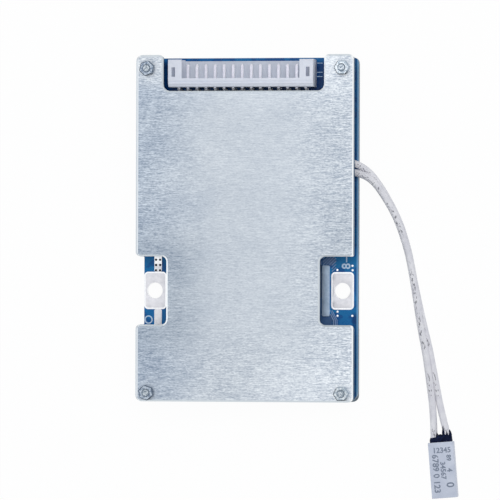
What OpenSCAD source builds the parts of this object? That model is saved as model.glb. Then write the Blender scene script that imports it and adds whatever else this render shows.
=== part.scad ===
// Battery management board: a circuit board between two heat plates, with a right-angle
// header, two terminal pads in side bays and a thermal cut-off switch on two leads.
// Millimetres. The back plate lies on z = 0, centred on the origin. +Y is the header's end
// and +Z points out of the front plate.

/* [Heat plates] */
// Width of both heat plates
plate_w = 60; // [54:0.5:80]
// Length of both heat plates
plate_l = 94; // [85:0.5:120]
// Thickness of the front heat plate
front_plate_t = 2; // [1.5:0.1:3]
// Thickness of the back heat plate
back_plate_t = 2; // [1.8:0.1:3]
// How far the back plate's top edge lies inside the front plate's
back_top_inset = 0.7; // [0:0.1:0.9]
// How far the back plate's sides lie inside the front plate's
back_side_inset = 0.2; // [0:0.05:0.3]
// Radius of the plates' outer corners
plate_corner_r = 1.7; // [1:0.1:2.2]
// Width of the bevel round the plates' edges
plate_bevel = 0.45; // [0.2:0.05:0.6]

/* [Terminal bays] */
// Length of both bays along the plate's side
bay_l = 18.5; // [17:0.25:20]
// Distance of the bays' middle below the board's middle
bay_drop = 16.9; // [16:0.1:18]
// Depth of the right bay from the plate's edge
bay_right_d = 9.3; // [9:0.1:9.8]
// Depth of the left bay from the plate's edge
bay_left_d = 8.5; // [8.2:0.1:9.5]
// Radius of the bays' inner corners
bay_inner_r = 1.4; // [0.7:0.1:2]
// Radius of the bays' corners at the plate's edge
bay_mouth_r = 1.25; // [0.7:0.05:1.8]
// Radius of the right bay's upper corner at the plate's edge
bay_sharp_r = 0.65; // [0.65:0.05:1.8]

/* [Header notch] */
// Depth of the notch in the front plate's top edge
notch_d = 9.8; // [9.6:0.1:11]
// Gap between the notch and the header's left end
notch_left_gap = 1.2; // [0.5:0.1:2]
// Gap between the notch and the header's right end
notch_right_gap = 3.1; // [1:0.1:4]
// Radius of the notch's inner corners
notch_inner_r = 1.8; // [0.7:0.1:2.5]
// Radius of the notch's corners at the top edge
notch_mouth_r = 1.3; // [0.7:0.1:2]

/* [Circuit board] */
// Thickness of the circuit board
board_t = 1.6; // [1:0.1:2]
// How far the board's sides stand out past the front plate's sides
board_side_out = 0.2; // [0:0.05:0.4]
// How far the board's top edge lies inside the plates' top edge
board_top_inset = 0.7; // [0:0.1:1.2]
// How far the board's bottom edge lies inside the plates' bottom edge
board_bottom_inset = 0.4; // [0:0.1:1]
// How far the board's left side steps in beside the left bay
board_left_step = 1.35; // [0.6:0.05:1.4]
// Radius of the board's top corners
board_top_r = 1.4; // [0.5:0.1:2]
// Radius of the board's bottom corners
board_bottom_r = 2.4; // [1:0.1:3]
// Gap between the back plate and the board
board_gap = 1.2; // [1:0.1:2]

/* [Terminals] */
// Diameter of the terminal bolt holes
terminal_hole_d = 4.4; // [4.2:0.1:4.6]
// Distance of the bolt holes from the plates' sides
terminal_side = 4.1; // [3.9:0.1:4.5]
// Width of the terminal pads
pad_w = 6.3; // [6:0.1:6.4]
// Length of the terminal pads
pad_l = 10.2; // [8:0.1:12]
// Radius of the pads' corners
pad_corner_r = 1.1; // [0.5:0.1:2]
// Thickness of the tinned copper lands
land_t = 0.12; // [0.05:0.01:0.2]
// How far the lands stay inside the board's sides
land_inset = 0.7; // [0.5:0.1:1]

/* [Copper strips] */
// Width of the bus strip beside the right pad
bus_w = 2.1; // [1.5:0.1:2.1]
// Length of the bus strip beside the right pad
bus_l = 13.8; // [10:0.1:15]
// Height of the bus strip
bus_t = 0.3; // [0.1:0.05:0.5]
// Width of the two link strips beside the left pad
link_w = 2.1; // [1:0.1:3]
// Length of the link strips
link_l = 7; // [5:0.25:9]
// Distance of the link strips from the left bolt hole towards the board's middle
link_x = 0.9; // [0:0.1:1.5]

/* [Plate fasteners] */
// Diameter of the screws
screw_d = 2; // [1.8:0.1:2.2]
// Distance of the screws from the plates' sides
screw_side = 3.2; // [3:0.1:3.4]
// Distance of the top screws from the plates' top edge
screw_top = 3.65; // [3.3:0.05:4]
// Distance of the bottom screws from the plates' bottom edge
screw_bottom = 2.35; // [2.3:0.05:4]
// Diameter of the countersunk heads
screw_head_d = 3.8; // [3.2:0.1:4]
// Height of the countersunk heads
screw_head_h = 1.1; // [0.8:0.1:1.3]
// How far the screw tips pass the nuts
screw_tip = 0.3; // [0.1:0.1:1]
// Width of the nuts across their flats
nut_af = 4; // [3.6:0.1:4.2]
// Height of the nuts
nut_h = 1.6; // [1.2:0.1:2]
// Width of the front spacers across their flats
spacer_af = 3.6; // [3.2:0.1:3.8]
// Diameter of the washers under the board
washer_d = 4; // [3.5:0.1:4.2]

/* [Header] */
// Number of ways in the header
ways = 15; // [13:2:15]
// Distance between two pins
pitch = 2.5; // [2.4:0.02:2.5]
// Distance of the header's middle from the board's middle, to the left
header_left = 1.3; // [0.5:0.1:1.8]
// Distance of the header's mouth from the plates' top edge
header_top = 1.25; // [1:0.05:1.6]
// Distance from the outer pins to the housing's ends
housing_end = 2.45; // [2.3:0.05:2.6]
// Depth of the housing from its rear to its mouth
housing_d = 7.45; // [7:0.05:8]
// Height of the housing above the board
housing_h = 6.1; // [5.6:0.1:6.4]
// Thickness of the housing's floor and top wall
housing_wall = 0.9; // [0.7:0.05:1]
// Thickness of the housing's end walls
housing_side = 0.85; // [0.8:0.05:1.1]
// Thickness of the housing's rear wall
housing_rear = 1.3; // [1:0.05:1.6]
// How far the floor stays behind the mouth
floor_back = 0.3; // [0.3:0.05:1]
// Width of the opening in the top wall
window_w = 32.5; // [30:0.1:33]
// Depth of the opening in the top wall
window_d = 5.1; // [4.5:0.05:5.2]
// Width of the latch slots at the ends
slot_w = 1; // [0.8:0.05:1.2]
// Length of the latch slots at the ends
slot_l = 2.6; // [2:0.1:3]
// Width of the square pins
pin_w = 0.64; // [0.5:0.02:0.7]
// Distance of the pins' tips from the mouth
pin_back = 1.2; // [1:0.1:2]
// Distance of the bent legs behind the housing
leg_back = 0.7; // [0.6:0.05:1]
// Radius on the inside of the pins' bends
pin_bend_r = 0.35; // [0.2:0.05:0.6]
// How far the pins pass through the board
pin_through = 0.7; // [0.4:0.1:0.8]

/* [Power devices] */
// Width of a power device
device_w = 9.8; // [8:0.1:11]
// Length of a power device's body
device_l = 9.2; // [8.6:0.1:9.4]
// Height of a power device
device_h = 4.4; // [4.2:0.1:4.8]
// Gap between power devices side by side
device_gap = 0.3; // [0.1:0.05:0.6]
// Gap between the outer power devices and the copper strips
device_side_gap = 0.2; // [0.1:0.05:1]
// Distance between the two rows of power devices
device_row = 17; // [16.4:0.1:17.5]
// Thickness of the front thermal pad
front_pad_t = 0.3; // [0.2:0.05:0.5]

/* [Thermal switch] */
// Width of the switch's case
switch_w = 6.8; // [6.4:0.1:7.5]
// Length of the switch's case
switch_l = 15.1; // [14:0.1:17]
// Height of the switch's case
switch_h = 3.5; // [3.3:0.1:4]
// Thickness of the case's walls
switch_wall = 0.5; // [0.3:0.05:0.55]
// Radius of the case's long edges
switch_r = 0.5; // [0.2:0.1:0.8]
// Diameter of the leads
lead_d = 1.9; // [1.5:0.1:1.9]
// Distance between the two leads in the seal
lead_gap = 3.5; // [3.2:0.1:3.6]

/* [Hidden] */

// Height of the straight rim of a countersunk head
screw_head_rim = 0.2;
// Facets of holes and round pieces
round_fn = 48;
// Steps in each rounded corner of an outline
corner_steps = 5;
// Clearance round a shank in its hole, and of a nut or washer on its screw
fit = 0.1;
// Cuts pass through the surfaces by this much
over = 0.5;

// Levels of the stack
board_z = back_plate_t + board_gap;
face_z = board_z + board_t;
spacer_h = device_h + front_pad_t;
front_z = face_z + spacer_h;
nut_z = front_z + front_plate_t;

// Header places
header_row = (ways - 1) * pitch;
header_w = header_row + 2 * housing_end;
mouth_y = plate_l / 2 - header_top;
rear_y = mouth_y - housing_d;
leg_y = rear_y - leg_back;
pin_z = face_z + housing_h / 2;

// Terminal and bay places
bay_top = -bay_drop + bay_l / 2;
bay_bottom = -bay_drop - bay_l / 2;
bay_right_x = plate_w / 2 - bay_right_d;
bay_left_x = -plate_w / 2 + bay_left_d;
board_x = plate_w / 2 + board_side_out;
board_top = plate_l / 2 - board_top_inset;
board_bottom = -plate_l / 2 + board_bottom_inset;
terminal_x = plate_w / 2 - terminal_side;

// Power devices: the rows' middle, and the lands under them
device_pitch = device_w + device_gap;
strip_gap = 0.35;
bus_inner_x = terminal_x - pad_w / 2 - strip_gap - bus_w;
device_columns = floor((2 * (bus_inner_x - device_side_gap) + device_gap) / device_pitch);
tab_t = 1.3;
tab_l = 1.4;
lead_l = 4.4;
tab_under = 3;
tab_side = 0.8;
lead_step = 2.54;
device_reach = lead_l + device_l + tab_l;
device_edge_gap = 6.1;
device_y = board_bottom + device_edge_gap + (device_row + device_reach) / 2;

// Signal parts in rows behind the header: one set for each cell tap, at the pins' pitch
cells = ways - 1;
row_gap = 1;
capacitor = [0.8, 1.6, 0.8];
resistor = [1.6, 3.2, 0.55];
transistor = [1.3, 2, 0.9];
foot = [0.4, 0.4, 0.35];
capacitor_y = leg_y - pin_w / 2 - 3.08 - capacitor.y / 2;
resistor_y = capacitor_y - capacitor.y / 2 - row_gap - resistor.y / 2;
transistor_y = resistor_y - resistor.y / 2 - 2 * row_gap - foot.y - transistor.y / 2;

// Chips and the other signal parts on the board
pin_hole_d = 1.1;
chip_w = 4.4;
chip_l = 9.7;
chip_h = 1.1;
chip_pins = 19;
chip_pin_step = 0.5;
chip_y = transistor_y - 8.6;
chip_at = [-8, chip_y, 0];
driver_w = 3.9;
driver_l = 4.9;
driver_h = 1.5;
driver_pins = 4;
driver_pin_step = 1.27;
driver_at = [5, chip_y, 0];
regulator_at = [14, chip_y, 0];
regulator_body = [4.5, 2.5, 1.5];
regulator_pin_step = 1.5;
diode_at = [-18, chip_y + 2, 0];
diode_step = 4;
diode_body = [4.2, 2.6, 2];
shunt = [3.2, 6.4, 0.7];
shunt_step = 5;
shunt_count = 4;
shunt_y = device_y + (device_row + device_reach) / 2 + 1.9 + shunt.y / 2;

// Thermal switch place, and the sockets where its leads end
switch_at = [53.1, -65.2];
switch_turn = 4.6;
seal_in = 2.5;
seal_out = 3.2;
socket_y = switch_l / 2 - 0.6;
straight_y = switch_l / 2 + 2.05;
lead_z = switch_h / 2;

// A point of the switch's own frame on the table's frame
function switch_point(x, y) = [
    switch_at.x + x * cos(switch_turn) - y * sin(switch_turn),
    switch_at.y + x * sin(switch_turn) + y * cos(switch_turn),
    lead_z
];

// Routes of the two leads, from the board's joints to the switch's seal
joint_x = 24.5;
route_right = [
    [24.5, 18, 6.2], [27, 18, 6.2], [29.5, 17.5, 6.2], [31.5, 16.5, 5.8], [33.5, 14.8, 4.8],
    [35, 12.8, 3.8], [36.5, 10.4, 2.7], [38, 7.6, 1.8], [39.5, 4.6, 1.2], [41, 1.2, 1],
    [42.3, -2.6, 1], [43.4, -6.6, 1], [44.2, -10.4, 1], [45, -14.6, 1], [45.9, -18.8, 1],
    [46.9, -23.4, 1], [48, -28, 1], [49.1, -32.6, 1], [50.1, -37.6, 1], [51.1, -42.8, 1],
    [52.1, -47.8, 1], [53.2, -52.2, 1.3],
    switch_point(lead_gap / 2, straight_y), switch_point(lead_gap / 2, socket_y)
];
route_left = [
    [24.5, 15.4, 6.2], [27, 15.4, 6.2], [29.5, 15.1, 6.3], [31.5, 14.5, 6.4], [33.4, 13.5, 6.3],
    [35, 12, 5.8], [36.5, 9.9, 5], [38, 7.4, 4.1], [39.5, 4.6, 3.4], [41, 1.3, 3.1],
    [42.3, -2.4, 3], [43.5, -6.4, 3], [44.4, -10.6, 3], [45.2, -15, 3], [45.9, -19.4, 3],
    [46.6, -24, 2.9], [47.4, -28.6, 2.8], [48.3, -33.4, 2.7], [49, -38, 2.6],
    [49.6, -42.8, 2.3], [50.1, -47.4, 1.8], [50.4, -51.8, 1.7],
    switch_point(-lead_gap / 2, straight_y), switch_point(-lead_gap / 2, socket_y)
];

// ---- Outlines: corners run anticlockwise as [x, y, radius] ----

function unit(v) = v / norm(v);
function half_turn(a) = a > 180 ? a - 360 : a < -180 ? a + 360 : a;
function left_of(d) = [-d.y, d.x];

// One corner as an arc, with the whole outline moved inwards by inset
function corner_arc(before, corner, after, inset) =
    let (
        d1 = unit([corner.x - before.x, corner.y - before.y]),
        d2 = unit([after.x - corner.x, after.y - corner.y]),
        n1 = left_of(d1),
        n2 = left_of(d2),
        r = corner[2] * sign(d1.x * d2.y - d1.y * d2.x),
        centre = [corner.x, corner.y] + r * (n1 + n2) / (1 + n1 * n2),
        start = atan2(n1.y, n1.x),
        sweep = half_turn(atan2(n2.y, n2.x) - start)
    )
    [for (k = [0:corner_steps])
        let (a = start + sweep * k / corner_steps) centre - (r - inset) * [cos(a), sin(a)]];

function outline(corners, inset = 0) =
    let (n = len(corners))
    [for (i = [0:n - 1])
        each corner_arc(corners[(i + n - 1) % n], corners[i], corners[(i + 1) % n], inset)];

// A bay cut into the right side, from its lower mouth to its upper mouth
function right_bay(edge_x, inner_x) = [
    [edge_x, bay_bottom, bay_mouth_r], [inner_x, bay_bottom, bay_inner_r],
    [inner_x, bay_top, bay_inner_r], [edge_x, bay_top, bay_sharp_r]
];

// A bay cut into the left side, from its upper mouth to its lower mouth
function left_bay(edge_x, inner_x) = [
    [edge_x, bay_top, bay_mouth_r], [inner_x, bay_top, bay_inner_r],
    [inner_x, bay_bottom, bay_inner_r], [edge_x, bay_bottom, bay_mouth_r]
];

function notch() =
    let (
        right_x = -header_left + header_w / 2 + notch_right_gap,
        left_x = -header_left - header_w / 2 - notch_left_gap,
        top = plate_l / 2,
        floor_y = plate_l / 2 - notch_d
    )
    [[right_x, top, notch_mouth_r], [right_x, floor_y, notch_inner_r],
     [left_x, floor_y, notch_inner_r], [left_x, top, notch_mouth_r]];

function plate_corners(top_cut, top_inset = 0, side_inset = 0) =
    let (x = plate_w / 2 - side_inset, y = plate_l / 2, top = y - top_inset, r = plate_corner_r)
    concat(
        [[-x, -y, r], [x, -y, r]], right_bay(x, bay_right_x),
        [[x, top, r]], top_cut, [[-x, top, r]], left_bay(-x, bay_left_x)
    );

function board_corners() =
    let (step_x = -board_x + board_left_step)
    [[-board_x, board_bottom, board_bottom_r], [board_x, board_bottom, board_bottom_r],
     [board_x, board_top, board_top_r], [-board_x, board_top, board_top_r],
     [-board_x, bay_top, 0.3], [step_x, bay_top, 0.3],
     [step_x, bay_bottom, 0.3], [-board_x, bay_bottom, 0.3]];

function box_corners(w, l, r) = [
    [-w / 2, -l / 2, r], [w / 2, -l / 2, r], [w / 2, l / 2, r], [-w / 2, l / 2, r]
];

// ---- Building blocks ----

// The walls between rings of equal count, each anticlockwise about the way the rings run
function walls(count, n, closed) =
    [for (k = [0:count - (closed ? 1 : 2)], i = [0:n - 1])
        let (j = (i + 1) % n, next = (k + 1) % count)
        [k * n + i, next * n + i, next * n + j, k * n + j]];

// A skin over rings, with a flat convex cap on the first and the last
module skin(rings) {
    n = len(rings[0]);
    last = len(rings) - 1;
    caps = [[for (i = [0:n - 1]) i], [for (i = [n - 1:-1:0]) last * n + i]];
    polyhedron([for (ring = rings) each ring], concat(walls(last + 1, n, false), caps));
}

// A closed band round an outline, its section given as [inset, z] points
module band(corners, section) {
    rings = [for (s = section) [for (p = outline(corners, s.x)) [p.x, p.y, s.y]]];
    polyhedron([for (ring = rings) each ring], walls(len(rings), len(rings[0]), true),
               convexity = 8);
}

// A flat plate with both edges bevelled
module bevelled_plate(corners, t, bevel) {
    e = 0.2;
    difference() {
        linear_extrude(t) polygon(outline(corners));
        band(corners, [[-e, t - bevel - e], [-e, t + e], [bevel + e, t + e]]);
        band(corners, [[-e, -e], [-e, bevel + e], [bevel + e, -e]]);
    }
}

module at_screws() {
    x = plate_w / 2 - screw_side;
    places = [
        [x, plate_l / 2 - screw_top], [-x, plate_l / 2 - screw_top],
        [-x, -plate_l / 2 + screw_bottom], [x, -plate_l / 2 + screw_bottom]
    ];
    for ($screw = [0:3]) translate(places[$screw]) children();
}

module hole(d, z, h) {
    translate([0, 0, z - over]) cylinder(d = d, h = h + 2 * over, $fn = round_fn);
}

// A flat ring or sleeve with a hexagonal outside
module hex_sleeve(af, h, bore) {
    difference() {
        cylinder(d = af / cos(30), h = h, $fn = 6);
        hole(bore, 0, h);
    }
}

module at_pins() {
    for (k = [0:ways - 1])
        translate([-header_left - header_row / 2 + k * pitch, 0, 0]) children();
}

module at_cells() {
    for (k = [0:cells - 1])
        translate([-header_left - (cells - 1) * pitch / 2 + k * pitch, 0, 0]) children();
}

module at_devices() {
    for (column = [0:device_columns - 1], row = [-1, 1])
        translate([
            (column - (device_columns - 1) / 2) * device_pitch,
            device_y + row * device_row / 2, face_z
        ]) children();
}

// A solid drawn by its side profile, as [y, z] points, and centred across X
module across(w) {
    translate([-w / 2, 0, 0]) rotate([90, 0, 90]) linear_extrude(w) children();
}

// One bent lead: a foot on the board, a rise and a shoulder into the body
module gull_lead(w, reach, rise, t) {
    foot = reach / 2;
    across(w) polygon([
        [0, 0], [foot, 0], [foot + t, rise - t], [reach, rise - t],
        [reach, rise], [foot, rise], [foot - t, t], [0, t]
    ]);
}

// ---- Heat plates and what joins them ----

module front_plate() {
    color("#ccd6dd") difference() {
        translate([0, 0, front_z]) bevelled_plate(plate_corners(notch()), front_plate_t, plate_bevel);
        at_screws() hole(screw_d + 2 * fit, front_z, front_plate_t);
    }
}

module back_plate() {
    color("#b9c4cc") difference() {
        bevelled_plate(plate_corners([], back_top_inset, back_side_inset), back_plate_t, plate_bevel);
        at_screws() {
            hole(screw_d + 2 * fit, 0, back_plate_t);
            hole(screw_head_d + 2 * fit, 0, fit + screw_head_rim - over);
            translate([0, 0, fit]) countersunk_head(fit);
        }
    }
}

// A countersunk head with its face down, grown outwards by a clearance
module countersunk_head(grow) {
    rotate_extrude($fn = round_fn) polygon([
        [0, 0], [screw_head_d / 2 + grow, 0], [screw_head_d / 2 + grow, screw_head_rim],
        [screw_d / 2 + grow, screw_head_h], [0, screw_head_h]
    ]);
}

module plate_screws() {
    top = nut_z + nut_h + screw_tip;
    tip = 0.3;
    color("#c3c8cd") at_screws() difference() {
        union() {
            translate([0, 0, fit]) countersunk_head(0);
            translate([0, 0, screw_head_h / 2])
                cylinder(d = screw_d, h = top - tip - screw_head_h / 2, $fn = round_fn);
            translate([0, 0, top - tip])
                cylinder(d1 = screw_d, d2 = screw_d - 2 * tip, h = tip, $fn = round_fn);
        }
        translate([0, 0, -over]) cylinder(d = 1.3 / cos(30), h = over + 0.8, $fn = 6);
    }
}

module plate_nuts() {
    chamfer = 0.25;
    turns = [0, 18, 42, 3];
    corner_r = nut_af / 2 / cos(30) + fit;
    color("#d5dade") at_screws() translate([0, 0, nut_z]) rotate(turns[$screw]) intersection() {
        hex_sleeve(nut_af, nut_h, screw_d + fit);
        rotate_extrude($fn = round_fn) polygon([
            [0, 0], [corner_r, 0], [corner_r, nut_h - chamfer],
            [corner_r - 1.7 * chamfer, nut_h], [0, nut_h]
        ]);
    }
}

module plate_spacers() {
    color("#c9a44c") at_screws()
        translate([0, 0, face_z]) hex_sleeve(spacer_af, spacer_h, screw_d + 2 * fit);
}

module board_washers() {
    color("#e8e6df") at_screws() translate([0, 0, back_plate_t]) difference() {
        cylinder(d = washer_d, h = board_gap, $fn = round_fn);
        hole(screw_d + 2 * fit, 0, board_gap);
    }
}

// ---- Circuit board, terminals and copper ----

module circuit_board() {
    color("#1a5a94") difference() {
        translate([0, 0, board_z]) linear_extrude(board_t) polygon(outline(board_corners()));
        at_screws() hole(screw_d + 2 * fit, board_z, board_t);
        at_terminals() hole(terminal_hole_d, board_z, board_t);
        at_pins() translate([0, leg_y, 0]) hole(pin_hole_d, board_z, board_t);
    }
}

module at_terminals() {
    for (side = [-1, 1]) translate([side * terminal_x, -bay_drop, 0]) children();
}

// A tinned land on each face of the board, round the bolt hole
module terminal_pad(side) {
    outer = board_x - (side < 0 ? board_left_step : land_inset);
    land_w = min(pad_w, 2 * (outer - terminal_x));
    color("#dfe2e4") translate([side * terminal_x, -bay_drop, 0])
        for (z = [board_z - land_t, face_z]) difference() {
            translate([0, 0, z]) linear_extrude(land_t)
                polygon(outline(box_corners(land_w, pad_l, pad_corner_r)));
            hole(terminal_hole_d, z, land_t);
        }
}

module terminal_pad_right() {
    terminal_pad(1);
}

module terminal_pad_left() {
    terminal_pad(-1);
}

// A tinned bar with rounded ends, standing on the board
module tinned_bar(w, l, t) {
    color("#c9d0d8") translate([0, 0, face_z]) linear_extrude(t)
        polygon(outline(box_corners(w, l, w * 0.2)));
}

module bus_strip() {
    translate([bus_inner_x + bus_w / 2, -bay_drop, 0]) tinned_bar(bus_w, bus_l, bus_t);
}

module link_strips() {
    reach = (pad_l + link_l) / 2;
    for (side = [-1, 1])
        translate([-terminal_x + link_x, -bay_drop + side * reach, 0])
            tinned_bar(link_w, link_l, land_t);
}

// ---- Header ----

module header_housing() {
    floor_z = housing_wall;
    room_h = housing_h - 2 * housing_wall;
    room_w = header_w - 2 * housing_side;
    slot_x = header_w / 2 - housing_side - slot_w / 2 - 0.1;
    slot_y = housing_d - 3.4;
    color("#eceff1") translate([-header_left, rear_y, face_z]) difference() {
        housing_block();
        // The room for the plug, open at the mouth
        translate([-room_w / 2, housing_rear, floor_z]) cube([room_w, housing_d, room_h]);
        // The floor and the window's sides stay behind the mouth
        translate([-window_w / 2, housing_d - floor_back, -over])
            cube([window_w, housing_d, housing_h]);
        // The window in the top wall
        translate([-window_w / 2, housing_d - window_d, housing_h - housing_wall - over])
            cube([window_w, housing_d, housing_wall + 2 * over]);
        // Latch slots in the top wall at both ends
        for (side = [-1, 1])
            translate([side * slot_x - slot_w / 2, slot_y - slot_l / 2,
                       housing_h - housing_wall - over])
                cube([slot_w, slot_l, housing_wall + 2 * over]);
        // Groove along the top
        translate([-header_w / 2 - over, 1.2, housing_h - 0.2]) cube([header_w + 2 * over, 0.35, over]);
        // Passages for the pins
        for (k = [0:ways - 1])
            translate([-header_row / 2 + k * pitch - pin_w / 2, -over, housing_h / 2 - pin_w / 2])
                cube([pin_w, housing_d, pin_w]);
    }
}

// The housing's outside: a long block with eased edges and a stepped rear
module housing_block() {
    ease = 0.25;
    across(header_w) polygon([
        [0, 0], [housing_d - ease, 0], [housing_d, ease], [housing_d, housing_h - ease],
        [housing_d - ease, housing_h], [0.9, housing_h], [0.6, housing_h - 0.35],
        [0.2, housing_h - 0.5], [0, housing_h - 0.8]
    ]);
}

// Square pins: straight in the housing, bent down behind it and through the board
module header_pins() {
    bend = pin_bend_r + pin_w / 2;
    tip = 0.5;
    foot_z = board_z - pin_through;
    color("#d9dde0") at_pins() {
        translate([-pin_w / 2, leg_y + bend, pin_z - pin_w / 2])
            cube([pin_w, mouth_y - pin_back - tip - leg_y - bend, pin_w]);
        translate([0, mouth_y - pin_back - tip, pin_z]) pin_tip(tip);
        translate([-pin_w / 2, leg_y - pin_w / 2, foot_z])
            cube([pin_w, pin_w, pin_z - bend - foot_z]);
        translate([0, leg_y + bend, pin_z - bend]) rotate([90, 0, 90]) rotate([0, 0, 90])
            rotate_extrude(angle = 90, $fn = round_fn)
                translate([pin_bend_r, -pin_w / 2]) square(pin_w);
    }
}

// The tapered end of a square pin, along +Y
module pin_tip(length) {
    a = pin_w / 2;
    b = a * 0.55;
    skin([
        [[-a, 0, a], [a, 0, a], [a, 0, -a], [-a, 0, -a]],
        [[-b, length, b], [b, length, b], [b, length, -b], [-b, length, -b]]
    ]);
}

// Solder cones round the pins' feet under the board
module header_joints() {
    r = pin_hole_d / 2 + 0.3;
    color("#c5cacf") at_pins() translate([0, leg_y, board_z]) difference() {
        rotate_extrude($fn = 24) polygon([[0, 0], [0, -0.5], [pin_w * 0.8, -0.5], [r, -0.1], [r, 0]]);
        translate([-pin_w / 2, -pin_w / 2, -2 * over]) cube([pin_w, pin_w, 4 * over]);
    }
}

// ---- Power devices and thermal pads ----

// Each device lies with its leads towards -Y and its tab towards +Y
module mosfet_bodies() {
    draft = 0.35;
    joint_h = 0.4;
    color("#2b2d30") at_devices() translate([0, lead_l - device_reach / 2, 0]) difference() {
        across(device_w) polygon([
            [draft, 0], [device_l, 0], [device_l, tab_t + joint_h], [device_l - draft, device_h],
            [draft, device_h], [0, device_h * 0.6], [0, device_h * 0.4]
        ]);
        // The body is moulded over the tab
        translate([-device_w / 2 + tab_side, device_l - tab_under, -over])
            cube([device_w - 2 * tab_side, tab_under + over, tab_t + over]);
    }
}

module mosfet_tabs() {
    cut = 0.5;
    color("#b8bec4") at_devices() translate([0, lead_l + device_l - device_reach / 2, 0]) {
        translate([-device_w / 2 + tab_side, -tab_under, 0])
            cube([device_w - 2 * tab_side, tab_under, tab_t]);
        linear_extrude(tab_t) polygon([
            [-device_w / 2, 0], [device_w / 2, 0], [device_w / 2, tab_l - cut],
            [device_w / 2 - cut, tab_l], [-device_w / 2 + cut, tab_l], [-device_w / 2, tab_l - cut]
        ]);
    }
}

module mosfet_leads() {
    middle_w = 1.2;
    side_w = 0.8;
    sheet_t = 0.5;
    color("#c9ced3") at_devices() for (side = [-1, 0, 1])
        translate([side * lead_step, -device_reach / 2, 0])
            gull_lead(side == 0 ? middle_w : side_w, lead_l, device_h / 2, sheet_t);
}

module front_thermal_pad() {
    w = (device_columns - 1) * device_pitch + device_w;
    l = device_row + device_l;
    color("#9aa7b5") translate([0, device_y + (lead_l - tab_l) / 2, front_z - front_pad_t])
        linear_extrude(front_pad_t) polygon(outline(box_corners(w, l, 1)));
}

module back_thermal_pad() {
    w = (device_columns - 1) * device_pitch + device_w;
    l = device_row + device_reach;
    color("#9aa7b5") translate([0, device_y, back_plate_t])
        linear_extrude(board_gap) polygon(outline(box_corners(w, l, 1)));
}

// ---- Signal parts ----

// A surface chip with leads along two sides, centred on the board's face
module chip_body(w, l, h) {
    draft = 0.15;
    translate([0, 0, face_z]) rotate([90, 0, 0]) translate([0, 0, -l / 2]) linear_extrude(l)
        polygon([
            [-w / 2 + draft, 0.15], [w / 2 - draft, 0.15], [w / 2, h / 2], [w / 2 - draft, h],
            [-w / 2 + draft, h], [-w / 2, h / 2]
        ]);
}

module chip_leads(w, count, step, rise) {
    reach = 1;
    for (side = [0, 180], k = [0:count - 1])
        translate([0, 0, face_z]) rotate(side)
            translate([-(w / 2 + reach), (k - (count - 1) / 2) * step, 0])
                rotate(-90) gull_lead(0.3, reach, rise, 0.2);
}

module protection_chip() {
    color("#26282b") translate(chip_at) chip_body(chip_w, chip_l, chip_h);
}

module protection_chip_leads() {
    color("#c9ced3") translate(chip_at) chip_leads(chip_w, chip_pins, chip_pin_step, chip_h / 2);
}

module driver_chip() {
    color("#26282b") translate(driver_at) chip_body(driver_w, driver_l, driver_h);
}

module driver_chip_leads() {
    color("#c9ced3") translate(driver_at) chip_leads(driver_w, driver_pins, driver_pin_step, driver_h / 2);
}

// A block with two metal ends, as one solid
module chip_part(size) {
    end_l = 0.35;
    translate([-size.x / 2, -size.y / 2, 0]) {
        translate([0.05, 0, 0]) cube([size.x - 0.1, size.y, size.z - 0.05]);
        for (y = [0, size.y - end_l]) translate([0, y, 0]) cube([size.x, end_l, size.z]);
    }
}

module balance_resistors() {
    color("#3a3c40") at_cells() translate([0, resistor_y, face_z]) chip_part(resistor);
}

module filter_capacitors() {
    color("#b39a74") at_cells() translate([0, capacitor_y, face_z]) chip_part(capacitor);
}

// Two feet on one side of each transistor and one on the other
module balance_transistors() {
    lift = 0.1;
    color("#303236") at_cells() translate([0, transistor_y, face_z]) {
        translate([-transistor.x / 2, -transistor.y / 2, lift]) cube(transistor);
        for (x = [-transistor.x, transistor.x] * 0.35)
            translate([x - foot.x / 2, -transistor.y / 2 - foot.y, 0]) cube(foot);
        translate([-foot.x / 2, transistor.y / 2, 0]) cube(foot);
    }
}

module shunt_resistors() {
    color("#43464a") for (k = [0:shunt_count - 1])
        translate([(k - (shunt_count - 1) / 2) * shunt_step, shunt_y, face_z]) chip_part(shunt);
}

module regulator() {
    body = regulator_body;
    pin = [0.5, 0.8, 0.4];
    color("#26282b") translate(regulator_at) translate([0, 0, face_z]) {
        translate([-body.x / 2, -body.y / 2, 0]) cube(body);
        translate([-body.x / 5, body.y / 2, 0]) cube([body.x * 0.4, pin.y, pin.z]);
        for (k = [-1:1])
            translate([k * regulator_pin_step - pin.x / 2, -body.y / 2 - pin.y, 0]) cube(pin);
    }
}

module input_diodes() {
    body = diode_body;
    end = [0.5, 1.4, 1.1];
    lift = 0.1;
    color("#303236") for (k = [0, 1])
        translate([diode_at.x, diode_at.y - k * diode_step, face_z]) {
            translate([-body.x / 2, -body.y / 2, lift]) cube(body);
            for (side = [-1, 1])
                translate([side * (body.x + end.x) / 2 - end.x / 2, -end.y / 2, 0]) cube(end);
        }
}

// ---- Thermal switch and its leads ----

// A tube of round section swept along a route
module tube(route, d) {
    sides = 8;
    last = len(route) - 1;
    skin([
        for (i = [0:last])
            let (
                along = unit(route[min(i + 1, last)] - route[max(i - 1, 0)]),
                across_it = unit(cross(along, [0, 0, 1])),
                down = cross(along, across_it)
            )
            [for (k = [0:sides - 1])
                let (a = (k + 0.5) * 360 / sides)
                route[i] + d / 2 * (cos(a) * across_it + sin(a) * down)]
    ]);
}

module lead_right() {
    color("#e4e6e8") tube(route_right, lead_d);
}

module lead_left() {
    color("#e4e6e8") tube(route_left, lead_d);
}

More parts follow.
